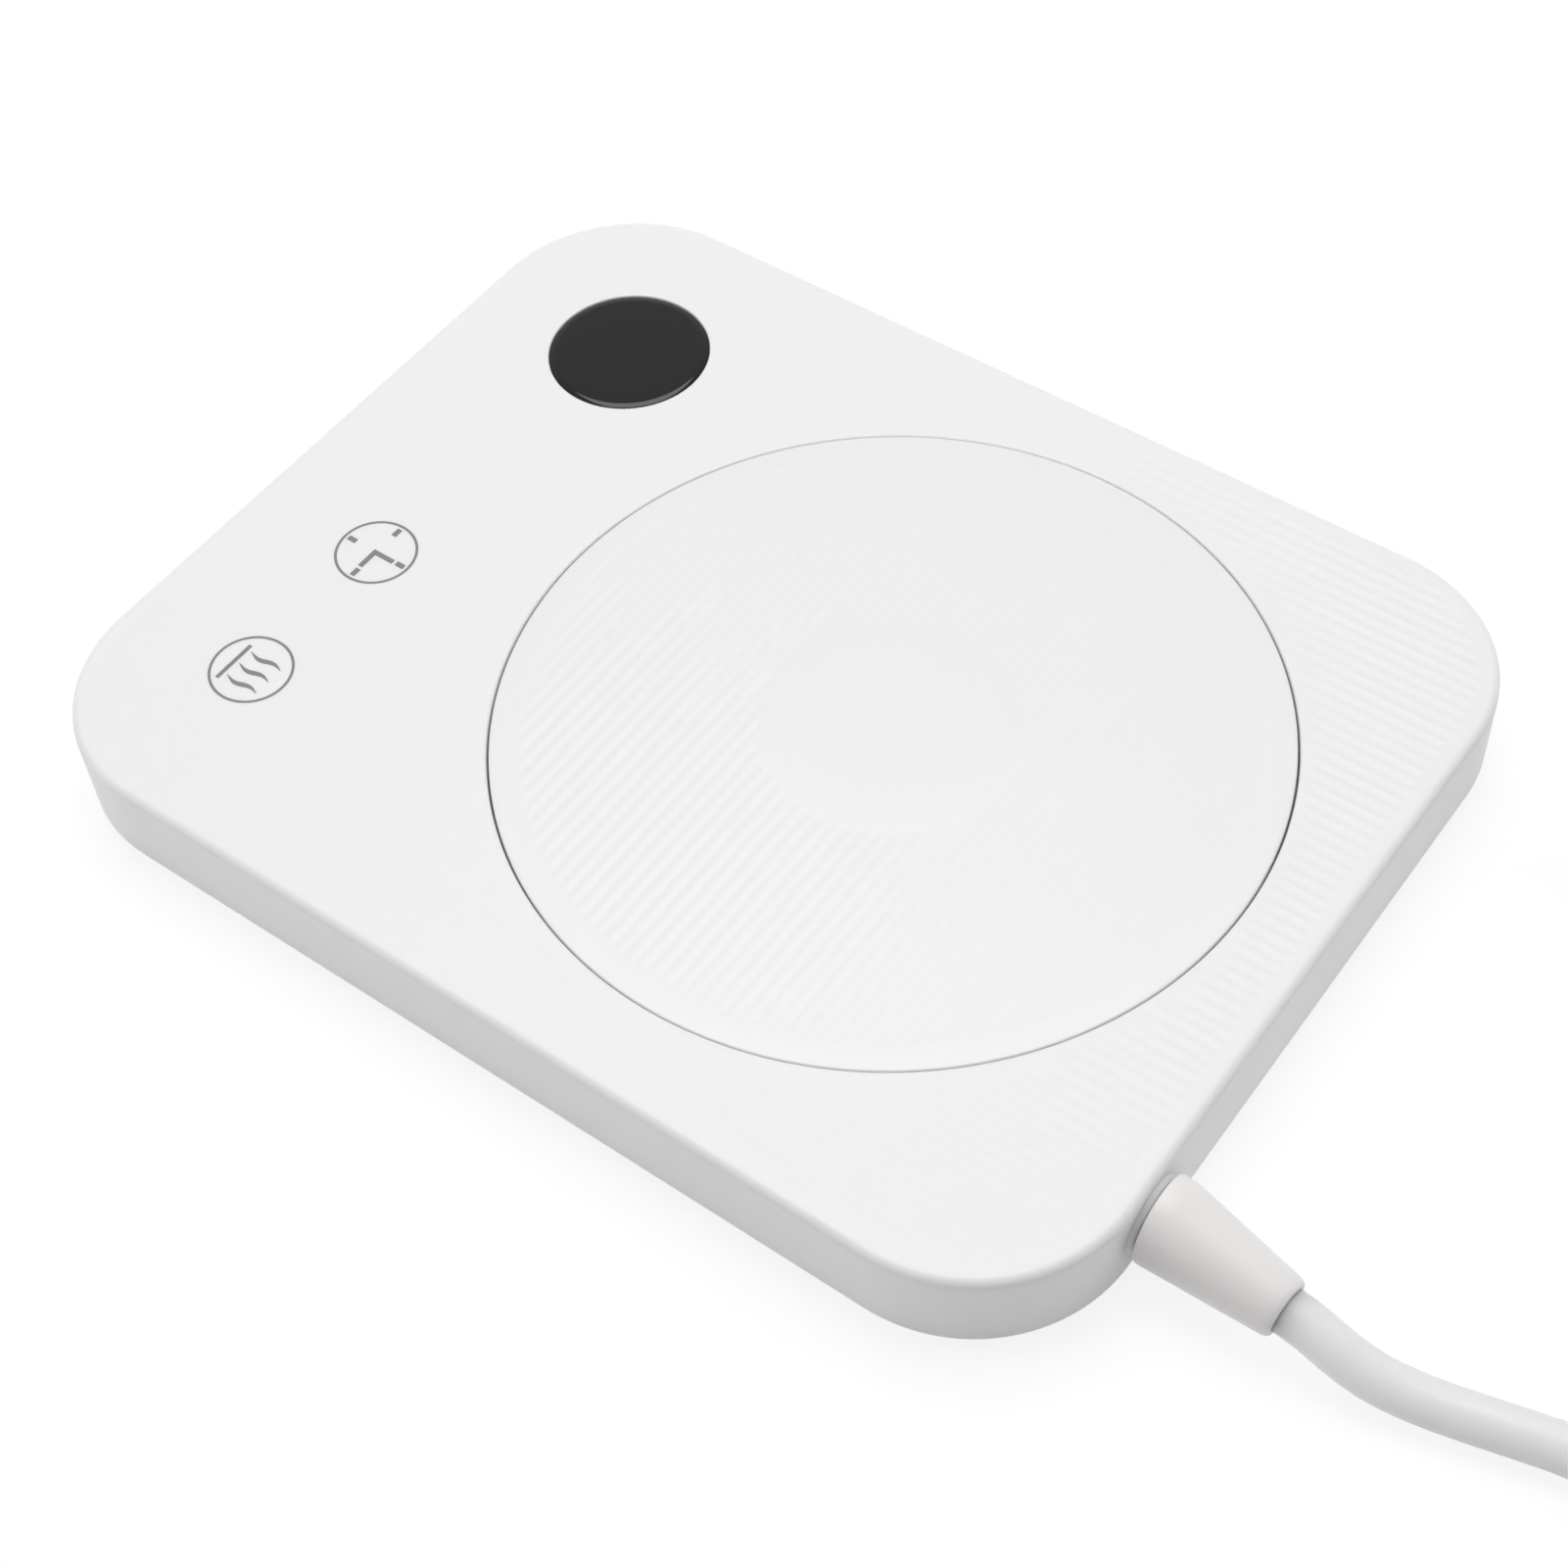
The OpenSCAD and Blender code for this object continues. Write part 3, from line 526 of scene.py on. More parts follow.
finishes = {
    # Moulded ABS: an even satin white with soft highlights on the rib ends
    "casing_abs": finish(
        "satin_moulded_abs", "#F1F1F1", "#F0F0F0", 0.42, 0.9, 0.0012, spread=0.03,
        Subsurface_Weight=0.4, Subsurface_Scale=0.8 * MM, Subsurface_Radius=(1.0, 1.0, 1.0)),
    # Spark-textured ABS: the matt grain of an underside
    "cover_abs": finish("spark_textured_abs", "#ECECEA", "#E4E4E2", 0.58, 0.45, 0.012),
    # Moulded silicone rubber: soft grey, with no clear highlight
    "foot_rubber": finish("moulded_silicone_rubber", "#8E9092", "#83868A", 0.72, 0.5, 0.01),
    # Enamelled aluminium: a hard glossy coat with a slight orange peel
    "enamelled_aluminium": finish(
        "enamelled_aluminium", "#EFEFEF", "#EEEEEE", 0.34, 1.6, 0.0015, spread=0.03),
    # Smoked cast acrylic: black with a clear mirror gloss
    "lens_acrylic": finish(
        "smoked_cast_acrylic", "#070708", "#0A0A0B", 0.05, 3.0, 0.0003, spread=0.02, IOR=1.49,
        Specular_IOR_Level=0.3),
    # Extruded PVC: silky, with a faint drawn grain, and light let through that softens its shade
    "cord_pvc": finish(
        "extruded_white_pvc", "#EAEAEA", "#E6E6E6", 0.42, 0.7, 0.006, Subsurface_Weight=1.0,
        Subsurface_Scale=12.0 * MM, Subsurface_Radius=(1.0, 1.0, 1.0)),
    # Moulded PVC of the boot, a little warmer than the lead
    "relief_pvc": finish(
        "moulded_boot_pvc", "#F0EEED", "#EDEAE9", 0.45, 1.2, 0.008, patch=6.0,
        Subsurface_Weight=0.5, Subsurface_Scale=2.5 * MM, Subsurface_Radius=(1.0, 1.0, 1.0)),
    "plug_pvc": finish("moulded_plug_pvc", "#EEEDEC", "#EAE9E7", 0.46, 0.9, 0.008),
    # Nickel-plated brass: warm grey, drawn along the blade
    "nickel_brass": finish(
        "nickel_plated_brass", "#CFC8B8", "#C2BAA8", 0.24, 0.25, 0.003,
        stretch=(1, 0.05, 1), Metallic=1.0),
    # Zinc-plated steel: a bright bluish head with the marks of its forming
    "zinc_steel": finish(
        "zinc_plated_steel", "#C4C8CC", "#AEB4BA", 0.34, 0.3, 0.004, patch=2.0, Metallic=1.0),
    # Drawn spring steel: dark and bright along the wire
    "spring_steel": finish(
        "drawn_spring_steel", "#9DA1A6", "#868B91", 0.3, 0.2, 0.003, patch=1.5, Metallic=1.0),
    # Tinned brass caps of fuses: bright and smooth
    "fuse_metal": finish(
        "tinned_brass_caps", "#C9CCCE", "#B5B9BC", 0.28, 0.4, 0.003, patch=2.0, Metallic=1.0),
    # Glass-filled nylon: off white, with the streaks of its fibres
    "heatproof_nylon": finish(
        "glass_filled_nylon", "#DDD9CF", "#D0CBBE", 0.52, 0.5, 0.01, patch=5.0,
        stretch=(1, 0.2, 1)),
    # Needled glass felt: cream, soft and full of fibres
    "glass_felt": finish(
        "needled_glass_felt", "#E2DAC2", "#CFC4A4", 0.9, 0.35, 0.12, patch=2.5,
        stretch=(1, 0.15, 1)),
    # Acetal: ivory and waxy
    "acetal": finish("moulded_acetal", "#EFEBDD", "#E8E3D2", 0.38, 0.8, 0.003),
    # Moulded epoxy: black, with the fine matt skin of its mould
    "epoxy_black": finish("moulded_epoxy", "#1D1E20", "#26272A", 0.62, 0.2, 0.006, patch=3.0),
    # Extruded insulation of the small leads: plain colours with a dull gloss
    "lead_pvc": finish("extruded_grey_pvc", "#8F9396", "#868A8D", 0.48, 0.4, 0.004),
    "wire_pvc": finish("extruded_brown_pvc", "#6B3F24", "#5E3720", 0.46, 0.4, 0.004),
    "lead_silicone": finish("extruded_red_silicone", "#A83A2C", "#983226", 0.6, 0.5, 0.006),
    # Moulded nylon of the mains terminal: a dull green
    "terminal_nylon": finish("moulded_green_nylon", "#3F8357", "#37764D", 0.45, 0.6, 0.005),
    # Moulded box of the film capacitor: a clean yellow
    "capacitor_box": finish("moulded_yellow_box", "#E0B83C", "#D6AC30", 0.42, 0.5, 0.005),
    # Solder-masked laminate: green, with the copper tracks showing lighter below the mask
    "board_laminate": patterned(
        "solder_masked_laminate", "TexBrick",
        {"Scale": per_mm(1.0), "Mortar Size": 0.22, "Brick Width": 5.2, "Row Height": 1.9,
         "Mortar Smooth": 0.1},
        "#1E6A3C", "#3A9A5C", 0.32, 0.02),
    # Etched foil between polyimide films: amber, with rings of track every 4 mm
    "polyimide_film": patterned(
        "etched_foil_in_polyimide", "TexWave",
        {"wave_type": "RINGS", "rings_direction": "Z", "Scale": wave_scale(4.0),
         "wave_profile": "TRI"},
        "#C98A2E", "#7A4F1D", 0.28, 0.03, place=(PLATE_X, PLATE_Y, 0)),
    # Shrunk sleeve of the smoothing capacitor: dark blue with one pale stripe
    "capacitor_sleeve": patterned(
        "shrunk_blue_sleeve", "TexWave",
        {"wave_type": "BANDS", "bands_direction": "Z", "Scale": wave_scale(9.0),
         "wave_profile": "SAW"},
        "#2B3470", "#3C478A", 0.3, 0.01),
}
# Pad-printed ink: flat grey, a little rough at its edges
ink = finish("pad_printed_ink", "#828282", "#7B7B7B", 0.5, 0.25, 0.002, patch=1.5)


def finish_frame():
    """Gives every CAD node the finish of its material slot in the record."""
    for row in frame["record"]["subparts"]:
        mesh = frame["nodes"][row["node"]].data
        mesh.materials.clear()
        mesh.materials.append(finishes[row["material_slot"]])


finish_frame()
mains_lead.data.materials.append(finishes["cord_pvc"])


# ---------- Casing ----------

def casing_relief(x, y):
    """Depth of the ribs: an even wave across X that runs out at the borders, at the opening
    and towards the keys."""
    core = np.stack([np.clip(x, -CORE_X, CORE_X), np.clip(y, -CORE_Y, CORE_Y)])
    from_border = FIELD_REACH - np.hypot(x - core[0], y - core[1])
    from_opening = np.hypot(x - PLATE_X, y - PLATE_Y) - OPENING_R - RIBS_OFF_OPENING
    run_out = smooth(from_border / RIB_END) * smooth(from_opening / RIB_END)
    to_keys = smooth((y - RIBS_FROM_Y) / RIBS_DEEPEN)
    wave = 0.5 - 0.5 * np.cos(TURN * x / RIB_PITCH)
    return CASING_RIB_DEPTH * wave * run_out * to_keys


def casing_grids():
    """The casing: a ribbed top, its outer edge carried down the wall and up inside, the edges
    of the opening and of the lens's seat, and the ceiling that closes them. Rows close beside
    a rounded edge keep the flat next to it flat."""
    opening_top_r = OPENING_R + OPENING_ROUND
    seat_round = 0.2
    lens_top_r = LENS_SEAT_R + seat_round
    half = CORE_X + FIELD_REACH
    corner = np.radians(np.arange(0, 33, 3))
    fixed = np.concatenate([
        CORE_X + FIELD_REACH * np.cos(corner), -CORE_X - FIELD_REACH * np.cos(corner),
        close_to_ends(PLATE_X, opening_top_r, 1.5, 9), close_to_ends(LENS_X, lens_top_r, 3, 27)])
    x = places(fixed, -half, half, RIB_PITCH / 6)
    top = top_strips(x, FIELD_REACH, opening_top_r, lens_top_r)
    grids = [at_height(plan, TOP_Z - casing_relief(plan[..., 0], plan[..., 1])) for plan in top]

    old = [-half, PLATE_X - opening_top_r, LENS_X - lens_top_r, LENS_X + lens_top_r,
           PLATE_X + opening_top_r, half]
    new = [-CORE_X - INNER_REACH, PLATE_X - COLLAR_R, LENS_X - WINDOW_R, LENS_X + WINDOW_R,
           PLATE_X + COLLAR_R, CORE_X + INNER_REACH]
    ceiling = top_strips(np.interp(x, old, new), INNER_REACH, COLLAR_R, WINDOW_R)
    grids += [at_height(plan, CEILING_Z) for plan in ceiling]

    def edge(loop, centres, profile, last):
        """A carried profile that ends on a loop of the ceiling."""
        rows = carried(loop, centres, profile)
        return np.concatenate([rows, at_height(last, CEILING_Z)[None]])

    wall = np.concatenate([
        [[FIELD_REACH, TOP_Z], [CORNER_R - TOP_ROUND - 0.4, TOP_Z]],
        arc((CORNER_R - TOP_ROUND, TOP_Z - TOP_ROUND), TOP_ROUND, 90, 0, 8),
        [[CORNER_R, TOP_Z - TOP_ROUND - 0.6], [CORNER_R, RIM_Z + RIM_ROUND + 0.5]],
        arc((CORNER_R - RIM_ROUND, RIM_Z + RIM_ROUND), RIM_ROUND, 0, -90, 4),
        [[INNER_REACH + 0.3, RIM_Z], [INNER_REACH, RIM_Z + 0.3]]])
    loop = border_loop(*top)
    grids.append(edge(loop, corner_centres(loop), wall, border_loop(*ceiling)))

    collar = np.concatenate([
        arc((opening_top_r, TOP_Z - OPENING_ROUND), OPENING_ROUND, 90, 180, 4),
        [[OPENING_R, TOP_Z - 0.8], [OPENING_R, COLLAR_Z + 0.2], [OPENING_R + 0.2, COLLAR_Z],
         [COLLAR_R, COLLAR_Z]]])
    inside = np.abs(x - PLATE_X) < opening_top_r + TINY
    loop = hole_loop(top[1][:, -1], top[2][:, 0], inside)
    last = hole_loop(ceiling[1][:, -1], ceiling[2][:, 0], inside)
    grids.append(edge(loop, np.array([PLATE_X, PLATE_Y]), collar, last))

    seat = np.concatenate([
        arc((lens_top_r, TOP_Z - seat_round), seat_round, 90, 180, 3),
        [[LENS_SEAT_R, LENS_SEAT_Z], [WINDOW_R, LENS_SEAT_Z]]])
    inside = np.abs(x - LENS_X) < lens_top_r + TINY
    loop = hole_loop(top[0][:, -1], top[1][:, 0], inside)
    last = hole_loop(ceiling[0][:, -1], ceiling[1][:, 0], inside)
    grids.append(edge(loop, np.array([LENS_X, LENS_Y]), seat, last))
    return grids


def boss_grids():
    """Bosses for the cover's and the board's screws, and the ring round the lead's exit."""
    def boss(x, y, foot):
        """A round boss with a blind bore, from the ceiling down to its foot."""
        bore, outer, root = 1.3, 3.2, CEILING_Z + 0.1
        profile = [(0, CEILING_Z - 1), (bore, CEILING_Z - 1), (bore, foot), (outer, foot),
                   (outer, root), (0, root)]
        return turned(profile, (x, y, 0), sides=32)

    grids = [boss(x, y, COVER_TOP_Z) for x in (-COVER_SCREW_X, COVER_SCREW_X)
             for y in (-COVER_SCREW_Y, COVER_SCREW_Y)]
    grids += [boss(x, y, BOARD_TOP_Z) for x in (-BOARD_SCREW_X, BOARD_SCREW_X)
              for y in BOARD_SCREWS_Y]
    ring = [(4.1, 84), (5.7, 84), (5.7, 84.95), (5.6, 85.1), (5.1, 85.55), (4.9, 85.65),
            (4.3, 85.65), (4.1, 85.5), (4.1, 84)]
    return grids + [turned(ring, (EXIT_X, 0, EXIT_Z), axis="y")]


piece("casing", casing_grids() + boss_grids(), "base", finishes["casing_abs"],
      ["top_casing"])


# ---------- Warming plate ----------

def plate_relief(x, y):
    """Depth of the plate's ribs: a wave across Y that runs out at the rim and at the smooth
    disc in the middle. Places are measured from the plate's centre."""
    r = np.hypot(x, y)
    run_out = smooth((PLATE_FIELD_R - r) / RIB_END) * smooth((r - PLATE_DISC_R) / RIB_END)
    return PLATE_RIB_DEPTH * (0.5 - 0.5 * np.cos(TURN * y / RIB_PITCH)) * run_out


def plate_grids():
    """The plate: rows of ribs left and right of a smooth disc, a rim that rolls down with the
    square of the way out and is then rounded, the underside, and three screw studs."""
    fixed = np.concatenate([
        close_to_ends(0, PLATE_FIELD_R, 2, 14), close_to_ends(0, PLATE_DISC_R, 3, 27)])
    y = places(fixed, -PLATE_FIELD_R, PLATE_FIELD_R, RIB_PITCH / 6)
    far = half_chord(y, 0, PLATE_FIELD_R)
    near = half_chord(y, 0, PLATE_DISC_R)
    left = in_plan(stations(-far, -near), y[:, None])
    right = in_plan(stations(near, far), y[:, None])
    middle = np.abs(y) < PLATE_DISC_R + TINY
    share = np.linspace(-1, 1, 7)
    disc = in_plan(near[middle, None] * share, y[middle, None])
    grids = [at_height(plan, TOP_Z - plate_relief(plan[..., 0], plan[..., 1]))
             for plan in (left, right, disc)]

    roll = np.linspace(0, 1, 8)
    edge_r = PLATE_R - PLATE_ROUND
    edge_z = TOP_Z - PLATE_ROLL - PLATE_ROUND
    rolled = [PLATE_FIELD_R + (edge_r - PLATE_FIELD_R) * roll, TOP_Z - PLATE_ROLL * roll ** 2]
    rim = np.concatenate([
        np.stack(rolled, axis=-1),
        arc((edge_r, edge_z), PLATE_ROUND, 72, 0, 4),
        [[PLATE_R, PLATE_Z + 0.2], [PLATE_R - 0.2, PLATE_Z], [0, PLATE_Z]]])
    loop = closed(np.concatenate([right[:, -1], left[-2:0:-1, 0]]))
    grids.append(carried(loop, np.zeros(2), rim))
    stud = [(0, PLATE_Z - 0.1), (0.9, PLATE_Z - 0.1), (0.9, CARRIER_TOP_Z), (2.4, CARRIER_TOP_Z),
            (2.4, PLATE_Z + 0.1), (0, PLATE_Z + 0.1)]
    for a in np.radians([30, 150, 270]):
        spot = (STUD_RING_R * math.cos(a), STUD_RING_R * math.sin(a), 0)
        grids.append(turned(stud, spot, sides=32))
    # Longer one way and shorter across it, by the same share
    c = math.cos(2 * PLATE_LONG_WAY)
    s = math.sin(2 * PLATE_LONG_WAY)
    oval = np.eye(3) + PLATE_OVAL / PLATE_R * np.array([[c, s, 0], [s, -c, 0], [0, 0, 0]])
    return [grid @ oval + np.array([PLATE_X, PLATE_Y, 0.0]) for grid in grids]


piece("plate", plate_grids(), "plate", finishes["enamelled_aluminium"],
      ["warming_plate"])


# ---------- Springs and heater leads under the plate ------

def spring_grids():
    """Three coil springs round the guide posts: a wire along a helix whose height rises evenly
    with its angle."""
    share = np.linspace(0, 1, 24 * SPRING_TURNS + 1)
    angle = TURN * SPRING_TURNS * share
    rise = SPRING_HEAD_Z - SPRING_FOOT_Z - SPRING_WIRE
    height = SPRING_FOOT_Z + SPRING_WIRE / 2 + rise * share
    coil = np.stack([SPRING_R * np.cos(angle), SPRING_R * np.sin(angle), height], axis=-1)
    middle = np.array([PLATE_X, PLATE_Y, 0.0])
    grids = []
    for a in np.radians([90, 210, 330]):
        post = middle + POST_RING_R * np.array([math.cos(a), math.sin(a), 0.0])
        grids.append(tube(coil + post, SPRING_WIRE, sides=10))
    return grids


springs = piece("plate_springs_wound", spring_grids(), "base", finishes["spring_steel"],
                ["plate_springs"], crease=70)
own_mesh(springs)


def heater_lead_grids():
    """Two silicone leads from the board's connector through the carrier's slot to the heater."""
    grids = []
    for side in (-1, 1):
        start_x = -2 + 1.9 * side
        slot_x = 5.2 + 1.2 * side
        line = np.array([
            [start_x, -45.5, 8.4], [start_x, -41.5, 8.4], [3.2 + 1.3 * side, -31.1, 8.0],
            [slot_x, -23.7, 8.2], [slot_x, -20.3, 9.3], [slot_x, -19.3, 10.7],
            [slot_x, -19.2, 12.4]])
        grids.append(tube(rounded(line), HEATER_LEAD_D, sides=16))
    return grids


heater_leads = piece("heater_leads_bent", heater_lead_grids(), None, finishes["lead_silicone"],
                     ["heater_leads"], crease=70)
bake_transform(heater_leads)


# ---------- Lens, keys and feet ----------

def lens_grids():
    """The window: flat, with an edge that rolls over and a small seam at its foot."""
    roll = np.linspace(0, 1, 7)
    flat_r, roll_w, drop = 11.0, 1.1, 0.21
    rolled = np.stack([flat_r + roll_w * roll, TOP_Z - drop * roll ** 2], axis=-1)
    profile = np.concatenate([
        [[0, TOP_Z], [6, TOP_Z]], rolled,
        [[LENS_R - 0.06, TOP_Z - 0.3], [LENS_R, TOP_Z - 0.42], [LENS_R, LENS_SEAT_Z + 0.1],
         [LENS_R - 0.1, LENS_SEAT_Z], [0, LENS_SEAT_Z]]])
    return [turned(profile, (LENS_X, LENS_Y, 0), sides=144)]


piece("display_window", lens_grids(), "base", finishes["lens_acrylic"],
      ["display_lens"])


def printed(line, width, whole=False):
    """A printed stroke along a line in plan: a flat band as wide as the given width, whose top
    lies just above the casing's skin and whose underside is just below it. Its ends are drawn
    together unless it is a whole ring."""
    line = np.asarray(line, float)
    width = np.broadcast_to(np.asarray(width, float), len(line))
    ahead = np.gradient(line, axis=0)
    if whole:
        ahead[0] = ahead[-1] = line[1] - line[-2]
    ahead /= np.linalg.norm(ahead, axis=1, keepdims=True)
    across = np.stack([ahead[:, 1], -ahead[:, 0]], axis=-1)
    share = np.linspace(-0.5, 0.5, 5)
    offset = np.concatenate([share, share[::-1], share[:1]])
    lift = np.concatenate([np.full(5, PRINT_T), np.full(5, -PRINT_ROOT), [PRINT_T]])
    plan = line[:, None] + (width[:, None] * offset)[..., None] * across[:, None]
    skin = TOP_Z - casing_relief(plan[..., 0], plan[..., 1])
    band = at_height(plan, skin + lift)
    if whole:
        band[-1] = band[0]
        return band
    caps = [np.broadcast_to(row.mean(axis=0), row.shape)[None] for row in (band[0], band[-1])]
    return np.concatenate([caps[0], band, caps[1]])


def stroke(start, finish, steps=8):
    """A straight line in plan."""
    share = np.linspace(0, 1, steps + 1)[:, None]
    return np.asarray(start, float) * (1 - share) + np.asarray(finish, float) * share


def key_ring(x):
    """The ring round a key."""
    a = np.linspace(0, TURN, 145)
    line = np.stack([x + KEY_RING_R * np.cos(a), KEY_Y + KEY_RING_R * np.sin(a)], axis=-1)
    return printed(line, KEY_RING_W, whole=True)


def clock_print():
    """A clock face: four ticks and two hands at a right angle."""
    grids = [key_ring(CLOCK_X)]
    middle = np.array([CLOCK_X, KEY_Y])
    tick_from, tick_to, tick_w = 3.85, 5.35, 0.86
    for way in np.array([[1, 0], [0, 1], [-1, 0], [0, -1]]):
        grids.append(printed(stroke(middle + tick_from * way, middle + tick_to * way), tick_w))
    corner = middle + (0.08, -0.15)
    half_w, long_hand, short_hand, lap = 0.41, 3.5, 3.3, 0.02
    grids.append(printed(stroke(corner - (0, half_w), corner + (0, long_hand)), 2 * half_w))
    grids.append(printed(stroke(corner + (half_w - lap, 0), corner + (short_hand, 0)), 2 * half_w))
    return grids


def heat_print():
    """Three rising waves over a bar. A wave is x = 0.28 sin 2 pi (1.2 t - 0.13), and is widest
    in its middle."""
    middle = HEAT_X + 0.3
    bar_half, bar_y, bar_w = 3.55, KEY_Y - 3.05, 0.62
    wave_y, wave_h, wave_gap = KEY_Y - 2.2, 5.87, 2.5
    bar = stroke((middle - bar_half, bar_y), (middle + bar_half, bar_y), 24)
    grids = [key_ring(HEAT_X), printed(bar, bar_w)]
    t = np.linspace(0, 1, 33)
    swing = 0.28 * np.sin(TURN * (1.2 * t - 0.13))
    width = 0.1 + 0.66 * np.sin(math.pi * t) ** 1.2
    for shift in (-wave_gap, 0.0, wave_gap):
        line = np.stack([middle + shift + swing, wave_y + wave_h * t], axis=-1)
        grids.append(printed(line, width))
    return grids


piece("clock_key_print", clock_print(), "base", ink)
piece("heat_key_print", heat_print(), "base", ink)


def foot_grids():
    """Four feet: rounded at the table, with a shallow hollow in the middle."""
    profile = np.concatenate([
        [[0, FOOT_SEAT_Z], [FOOT_R, FOOT_SEAT_Z]],
        arc((FOOT_R - FOOT_ROUND, FOOT_ROUND), FOOT_ROUND, 0, -90, 5),
        [[3.4, 0.0], [3.1, 0.12], [2.8, 0.35], [0, 0.35]]])
    return [turned(profile, (x, y, 0), sides=64) for x in (-FOOT_X, FOOT_X)
            for y in (-FOOT_Y, FOOT_Y)]


piece("feet", foot_grids(), "base", finishes["foot_rubber"], ["rubber_feet"])


# ---------- Boot and plug of the lead ----------

def boot_grid():
    """The boot: a flange inside the wall, a neck through it, a straight root, and a taper that
    leans with the lead. Each row is (place along the boot, half width, half height, fullness)."""
    rows = np.array([
        [-5.35, 0, 0, 8], [-5.35, 5.3, 4.2, 8], [-5.25, 5.5, 4.4, 8], [-3.85, 5.5, 4.4, 8],
        [-3.75, 5.4, 4.3, 8], [-3.75, 4, 4, 2], [-0.36, 4, 4, 2], [-0.35, 5.9, 5.9, 2],
        [-0.3, 6.1, 6.1, 2], [-0.2, 6.18, 6.18, 2], [0, 6.2, 6.2, 2], [1.4, 6.2, 6.2, 2],
        [1.9, 6.12, 6.12, 2], [6, 5.62, 5.62, 2], [10, 5.14, 5.14, 2], [14, 4.66, 4.66, 2],
        [17, 4.3, 4.3, 2], [17.6, 4.22, 4.22, 2], [18.1, 4.05, 4.05, 2], [18.4, 3.8, 3.8, 2],
        [18.5, 3.45, 3.45, 2], [18.46, 3.2, 3.2, 2], [18.35, 3.1, 3.1, 2], [18.3, 0, 0, 2]])
    straight = np.array([0.0, 1.0, 0.0])
    root = np.array([EXIT_X, BOOT_Y + BOOT_ROOT_L / 2, EXIT_Z])
    lean = (TIP - root) / (BOOT_L - BOOT_ROOT_L / 2)
    place = rows[:, :1]
    before = np.minimum(place - BOOT_ROOT_L / 2, 0)
    beyond = np.maximum(place - BOOT_ROOT_L / 2, 0)
    path = root + before * straight + beyond * lean
    ahead = straight + (lean - straight) * smooth(place / BOOT_ROOT_L)
    return sections(path, ahead, rows)


lead_boot = piece("lead_boot", [boot_grid()], "base", finishes["relief_pvc"],
                  ["strain_relief"])


def plug_grid():
    """The plug: a ringed flexible neck that swells into a rounded body with finger grooves. The
    half width and the half height run along the plug as those of the neck plus, by the S curve
    of the swell, what the body has more; rings and grooves are S curves repeated at their
    pitch."""
    end, nose_l, nose_round = PLUG_NECK_L + PLUG_BODY_L, 2.0, 1.6
    half_w, half_h, full = PLUG_W / 2, PLUG_H / 2, 4.2
    neck_r, neck_flare, ring_depth, grip_depth = 3.9, 1.4, 0.75, 0.35
    waist_depth, waist_at, waist_w = 0.9, 30, 6

    s = np.concatenate([
        np.linspace(0.25, PLUG_NECK_L - 0.5, 90), np.linspace(PLUG_NECK_L, end - nose_l, 120)])

    def repeated(start, finish, pitch, reach, slope):
        """1 on each rib of a row from start to finish, and 0 between the ribs."""
        away = np.abs((s - start) % pitch - pitch / 2)
        return smooth(reach - away * slope) * (s > start) * (s < finish)

    rings = ring_depth * repeated(2.5, 15.5, 2.6, 1.35, 2.4)
    neck = neck_r + neck_flare * s / PLUG_NECK_L - rings
    swell = smooth((s - PLUG_NECK_L + 1.5) / 6.5)
    grip = grip_depth * repeated(28, 40, 2.4, 1.4, 2.2)
    waist = waist_depth * np.exp(-((s - waist_at) / waist_w) ** 2)
    wide = neck + (half_w - neck - grip - waist) * swell
    tall = neck + (half_h - neck - 0.4 * waist) * swell
    fullness = 2 + (full - 2) * swell
    a = np.radians(np.linspace(0, 90, 7))[1:]
    drawn_in = nose_round * (1 - np.cos(a))
    nose = np.stack([
        end - nose_l + nose_l * np.sin(a), half_w - drawn_in, half_h - drawn_in,
        np.full(len(a), full)], axis=-1)
    rows = np.concatenate([
        [[0.6, 0, 0, 2], [0.6, 3.15, 3.15, 2], [0, 3.25, 3.25, 2], [0, 3.65, 3.65, 2]],
        np.stack([s, wide, tall, fullness], axis=-1), nose, [[end, 0, 0, full]]])
    path = np.stack([
        np.full(len(rows), PLUG_X), PLUG_Y - rows[:, 0], np.full(len(rows), PLUG_Z)], axis=-1)
    ahead = np.broadcast_to([0.0, -1.0, 0.0], path.shape)
    return sections(path, ahead, rows, sides=96)


plug = piece("plug", [plug_grid()], "base", finishes["plug_pvc"], ["plug_body"])


# ---------- Floor and light, in metres ----------

def plain_ways(tree):
    """1 where a surface is seen by the camera, in a reflection or through glass."""
    way = add(tree, "LightPath")
    larger = {"operation": "MAXIMUM"}
    seen = add(tree, "Math", larger, {0: (way, "Is Camera Ray"), 1: (way, "Is Glossy Ray")})
    return add(tree, "Math", larger, {0: (seen, 0), 1: (way, "Is Transmission Ray")})


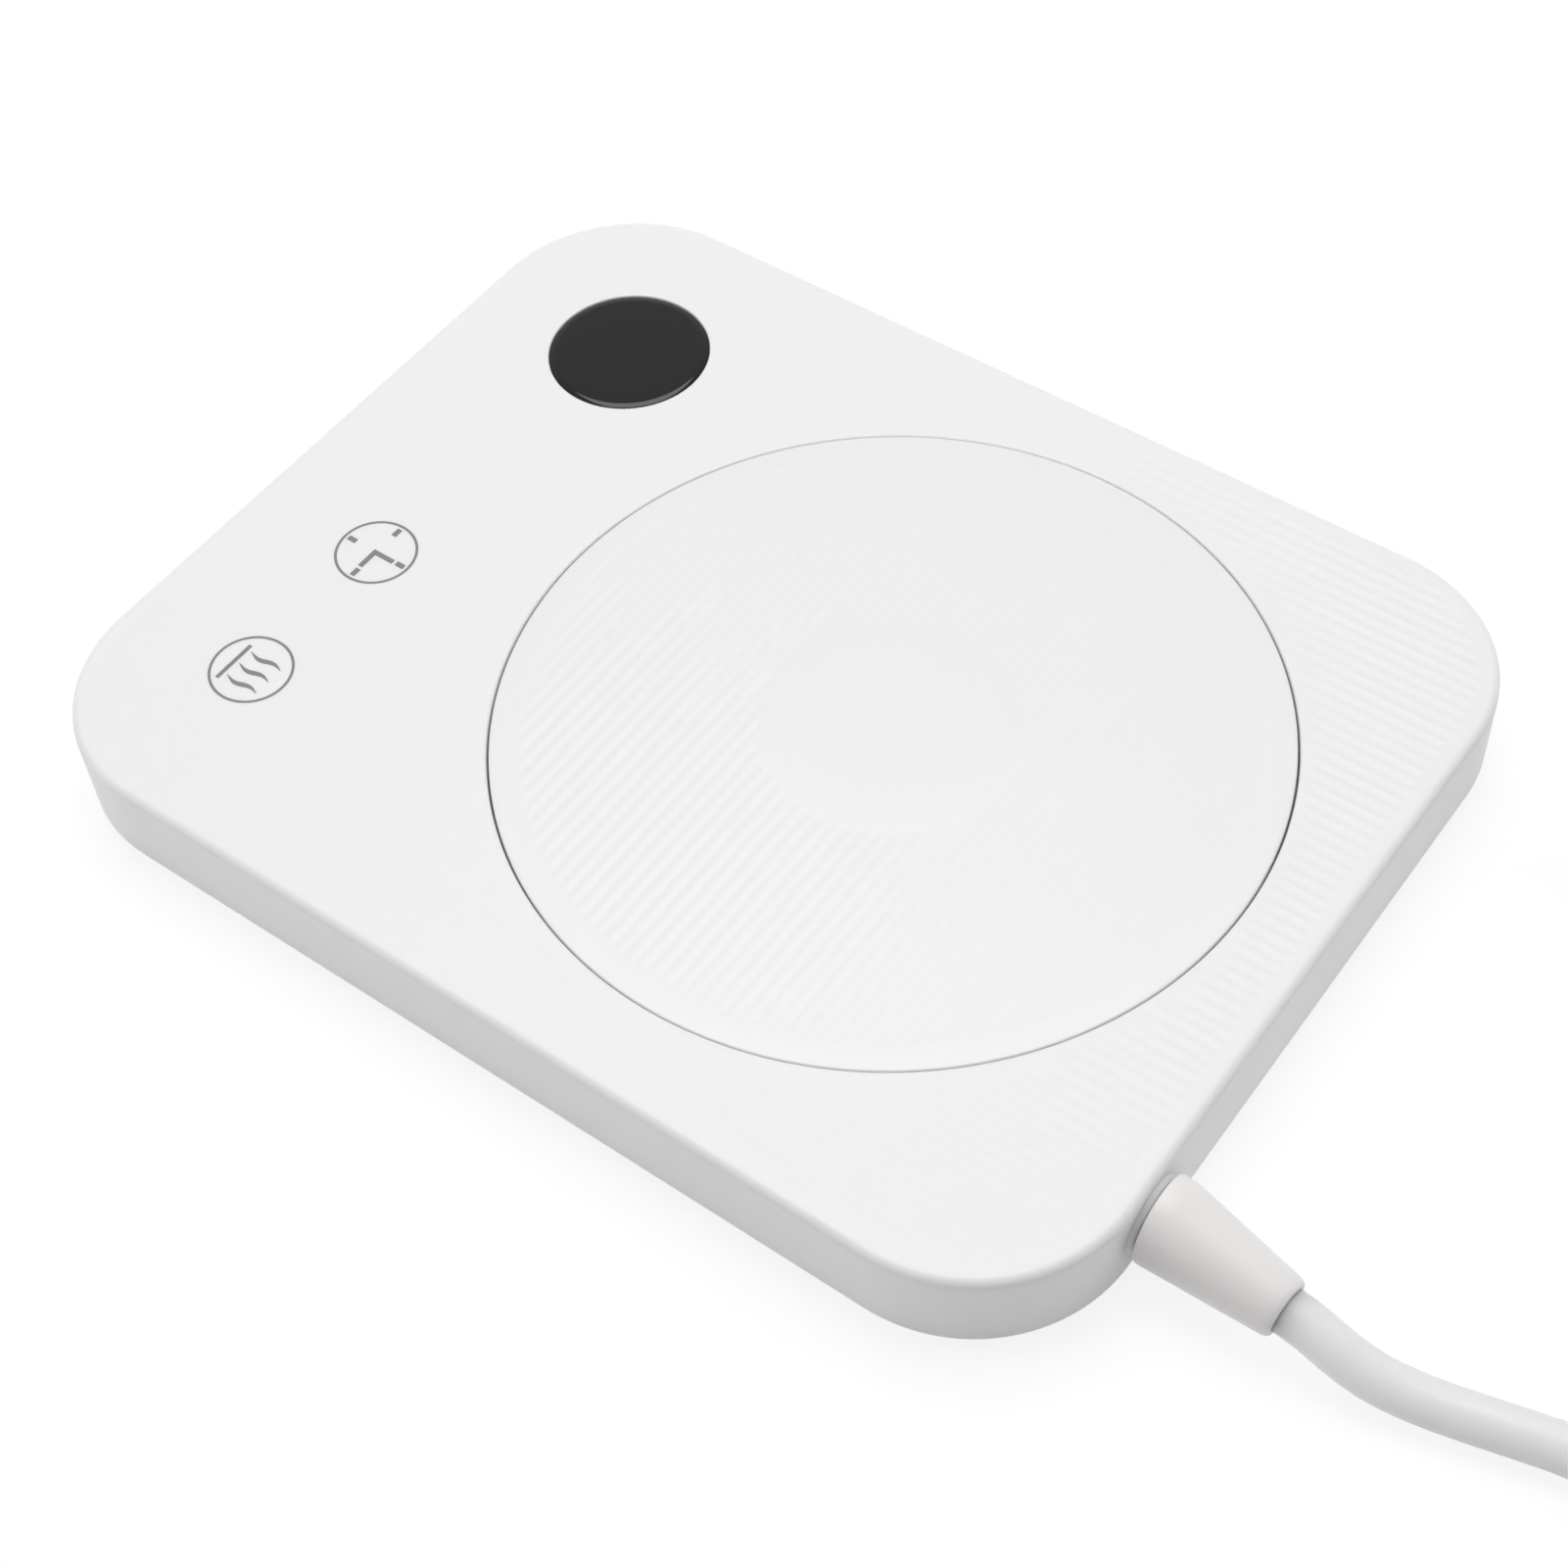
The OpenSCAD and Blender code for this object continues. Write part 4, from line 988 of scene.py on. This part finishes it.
def make_floor():
    """A wide pale floor just below the feet. It takes the object's shadow, is lifted to white
    where it is seen, and is plain white further away."""
    half = 3.0
    low = -0.1 * MM
    corners = [(-half, -half, low), (half, -half, low), (half, half, low), (-half, half, low)]
    mesh = bpy.data.meshes.new("floor")
    mesh.from_pydata(corners, [], [(0, 1, 2, 3)])
    floor = bpy.data.objects.new("floor", mesh)
    bpy.context.scene.collection.objects.link(floor)
    paper = bpy.data.materials.new("white_paper")
    paper.use_nodes = True
    tree = paper.node_tree
    tree.nodes.clear()
    matt = add(tree, "BsdfDiffuse", {"Color": colour("#F8F8F8")})
    lit = add(tree, "Emission", {"Color": colour("#FFFFFF"), "Strength": 1.05})
    spot = add(tree, "TexCoord")
    away = add(tree, "VectorMath", {"operation": "LENGTH"}, {0: (spot, "Object")})
    lift = add(
        tree, "MapRange", {"From Min": 0.25, "From Max": 0.7, "To Min": 0.8, "To Max": 1.0},
        {"Value": (away, "Value")})
    share = add(tree, "Math", {"operation": "MULTIPLY"}, {0: (plain_ways(tree), 0), 1: (lift, 0)})
    mixed = add(tree, "MixShader", None, {0: (share, 0), 1: (matt, 0), 2: (lit, 0)})
    add(tree, "OutputMaterial", None, {"Surface": (mixed, 0)})
    mesh.materials.append(paper)


def make_sky(level):
    """Even light from all round, and plain white where it is seen."""
    world = bpy.data.worlds.new("studio")
    bpy.context.scene.world = world
    world.use_nodes = True
    tree = world.node_tree
    tree.nodes.clear()
    fill = add(tree, "Background", {"Color": colour("#FFFFFF"), "Strength": level})
    seen = add(tree, "Background", {"Color": colour("#FFFFFF"), "Strength": 1.0})
    mixed = add(tree, "MixShader", None, {0: (plain_ways(tree), 0), 1: (fill, 0), 2: (seen, 0)})
    add(tree, "OutputWorld", None, {"Surface": (mixed, 0)})


def softbox(name, spot, size, watts, mirrored=True):
    """A large soft lamp that faces the object, and may be kept out of reflections."""
    data = bpy.data.lights.new(name, "AREA")
    data.shape = "SQUARE"
    data.size = size
    data.energy = watts
    lamp = bpy.data.objects.new(name, data)
    lamp.location = spot
    lamp.rotation_mode = "QUATERNION"
    lamp.rotation_quaternion = (-Vector(spot)).to_track_quat("-Z", "Y")
    lamp.visible_glossy = mirrored
    bpy.context.scene.collection.objects.link(lamp)


make_floor()
make_sky(0.27)
softbox("overhead", (-0.25, -0.22, 1.08), 0.7, 7.5)
softbox("left", (0.62, -0.62, 0.48), 0.6, 1.75, mirrored=False)
softbox("right", (-0.62, 0.62, 0.48), 0.6, 1.75, mirrored=False)

bpy.context.scene.view_settings.view_transform = "Standard"
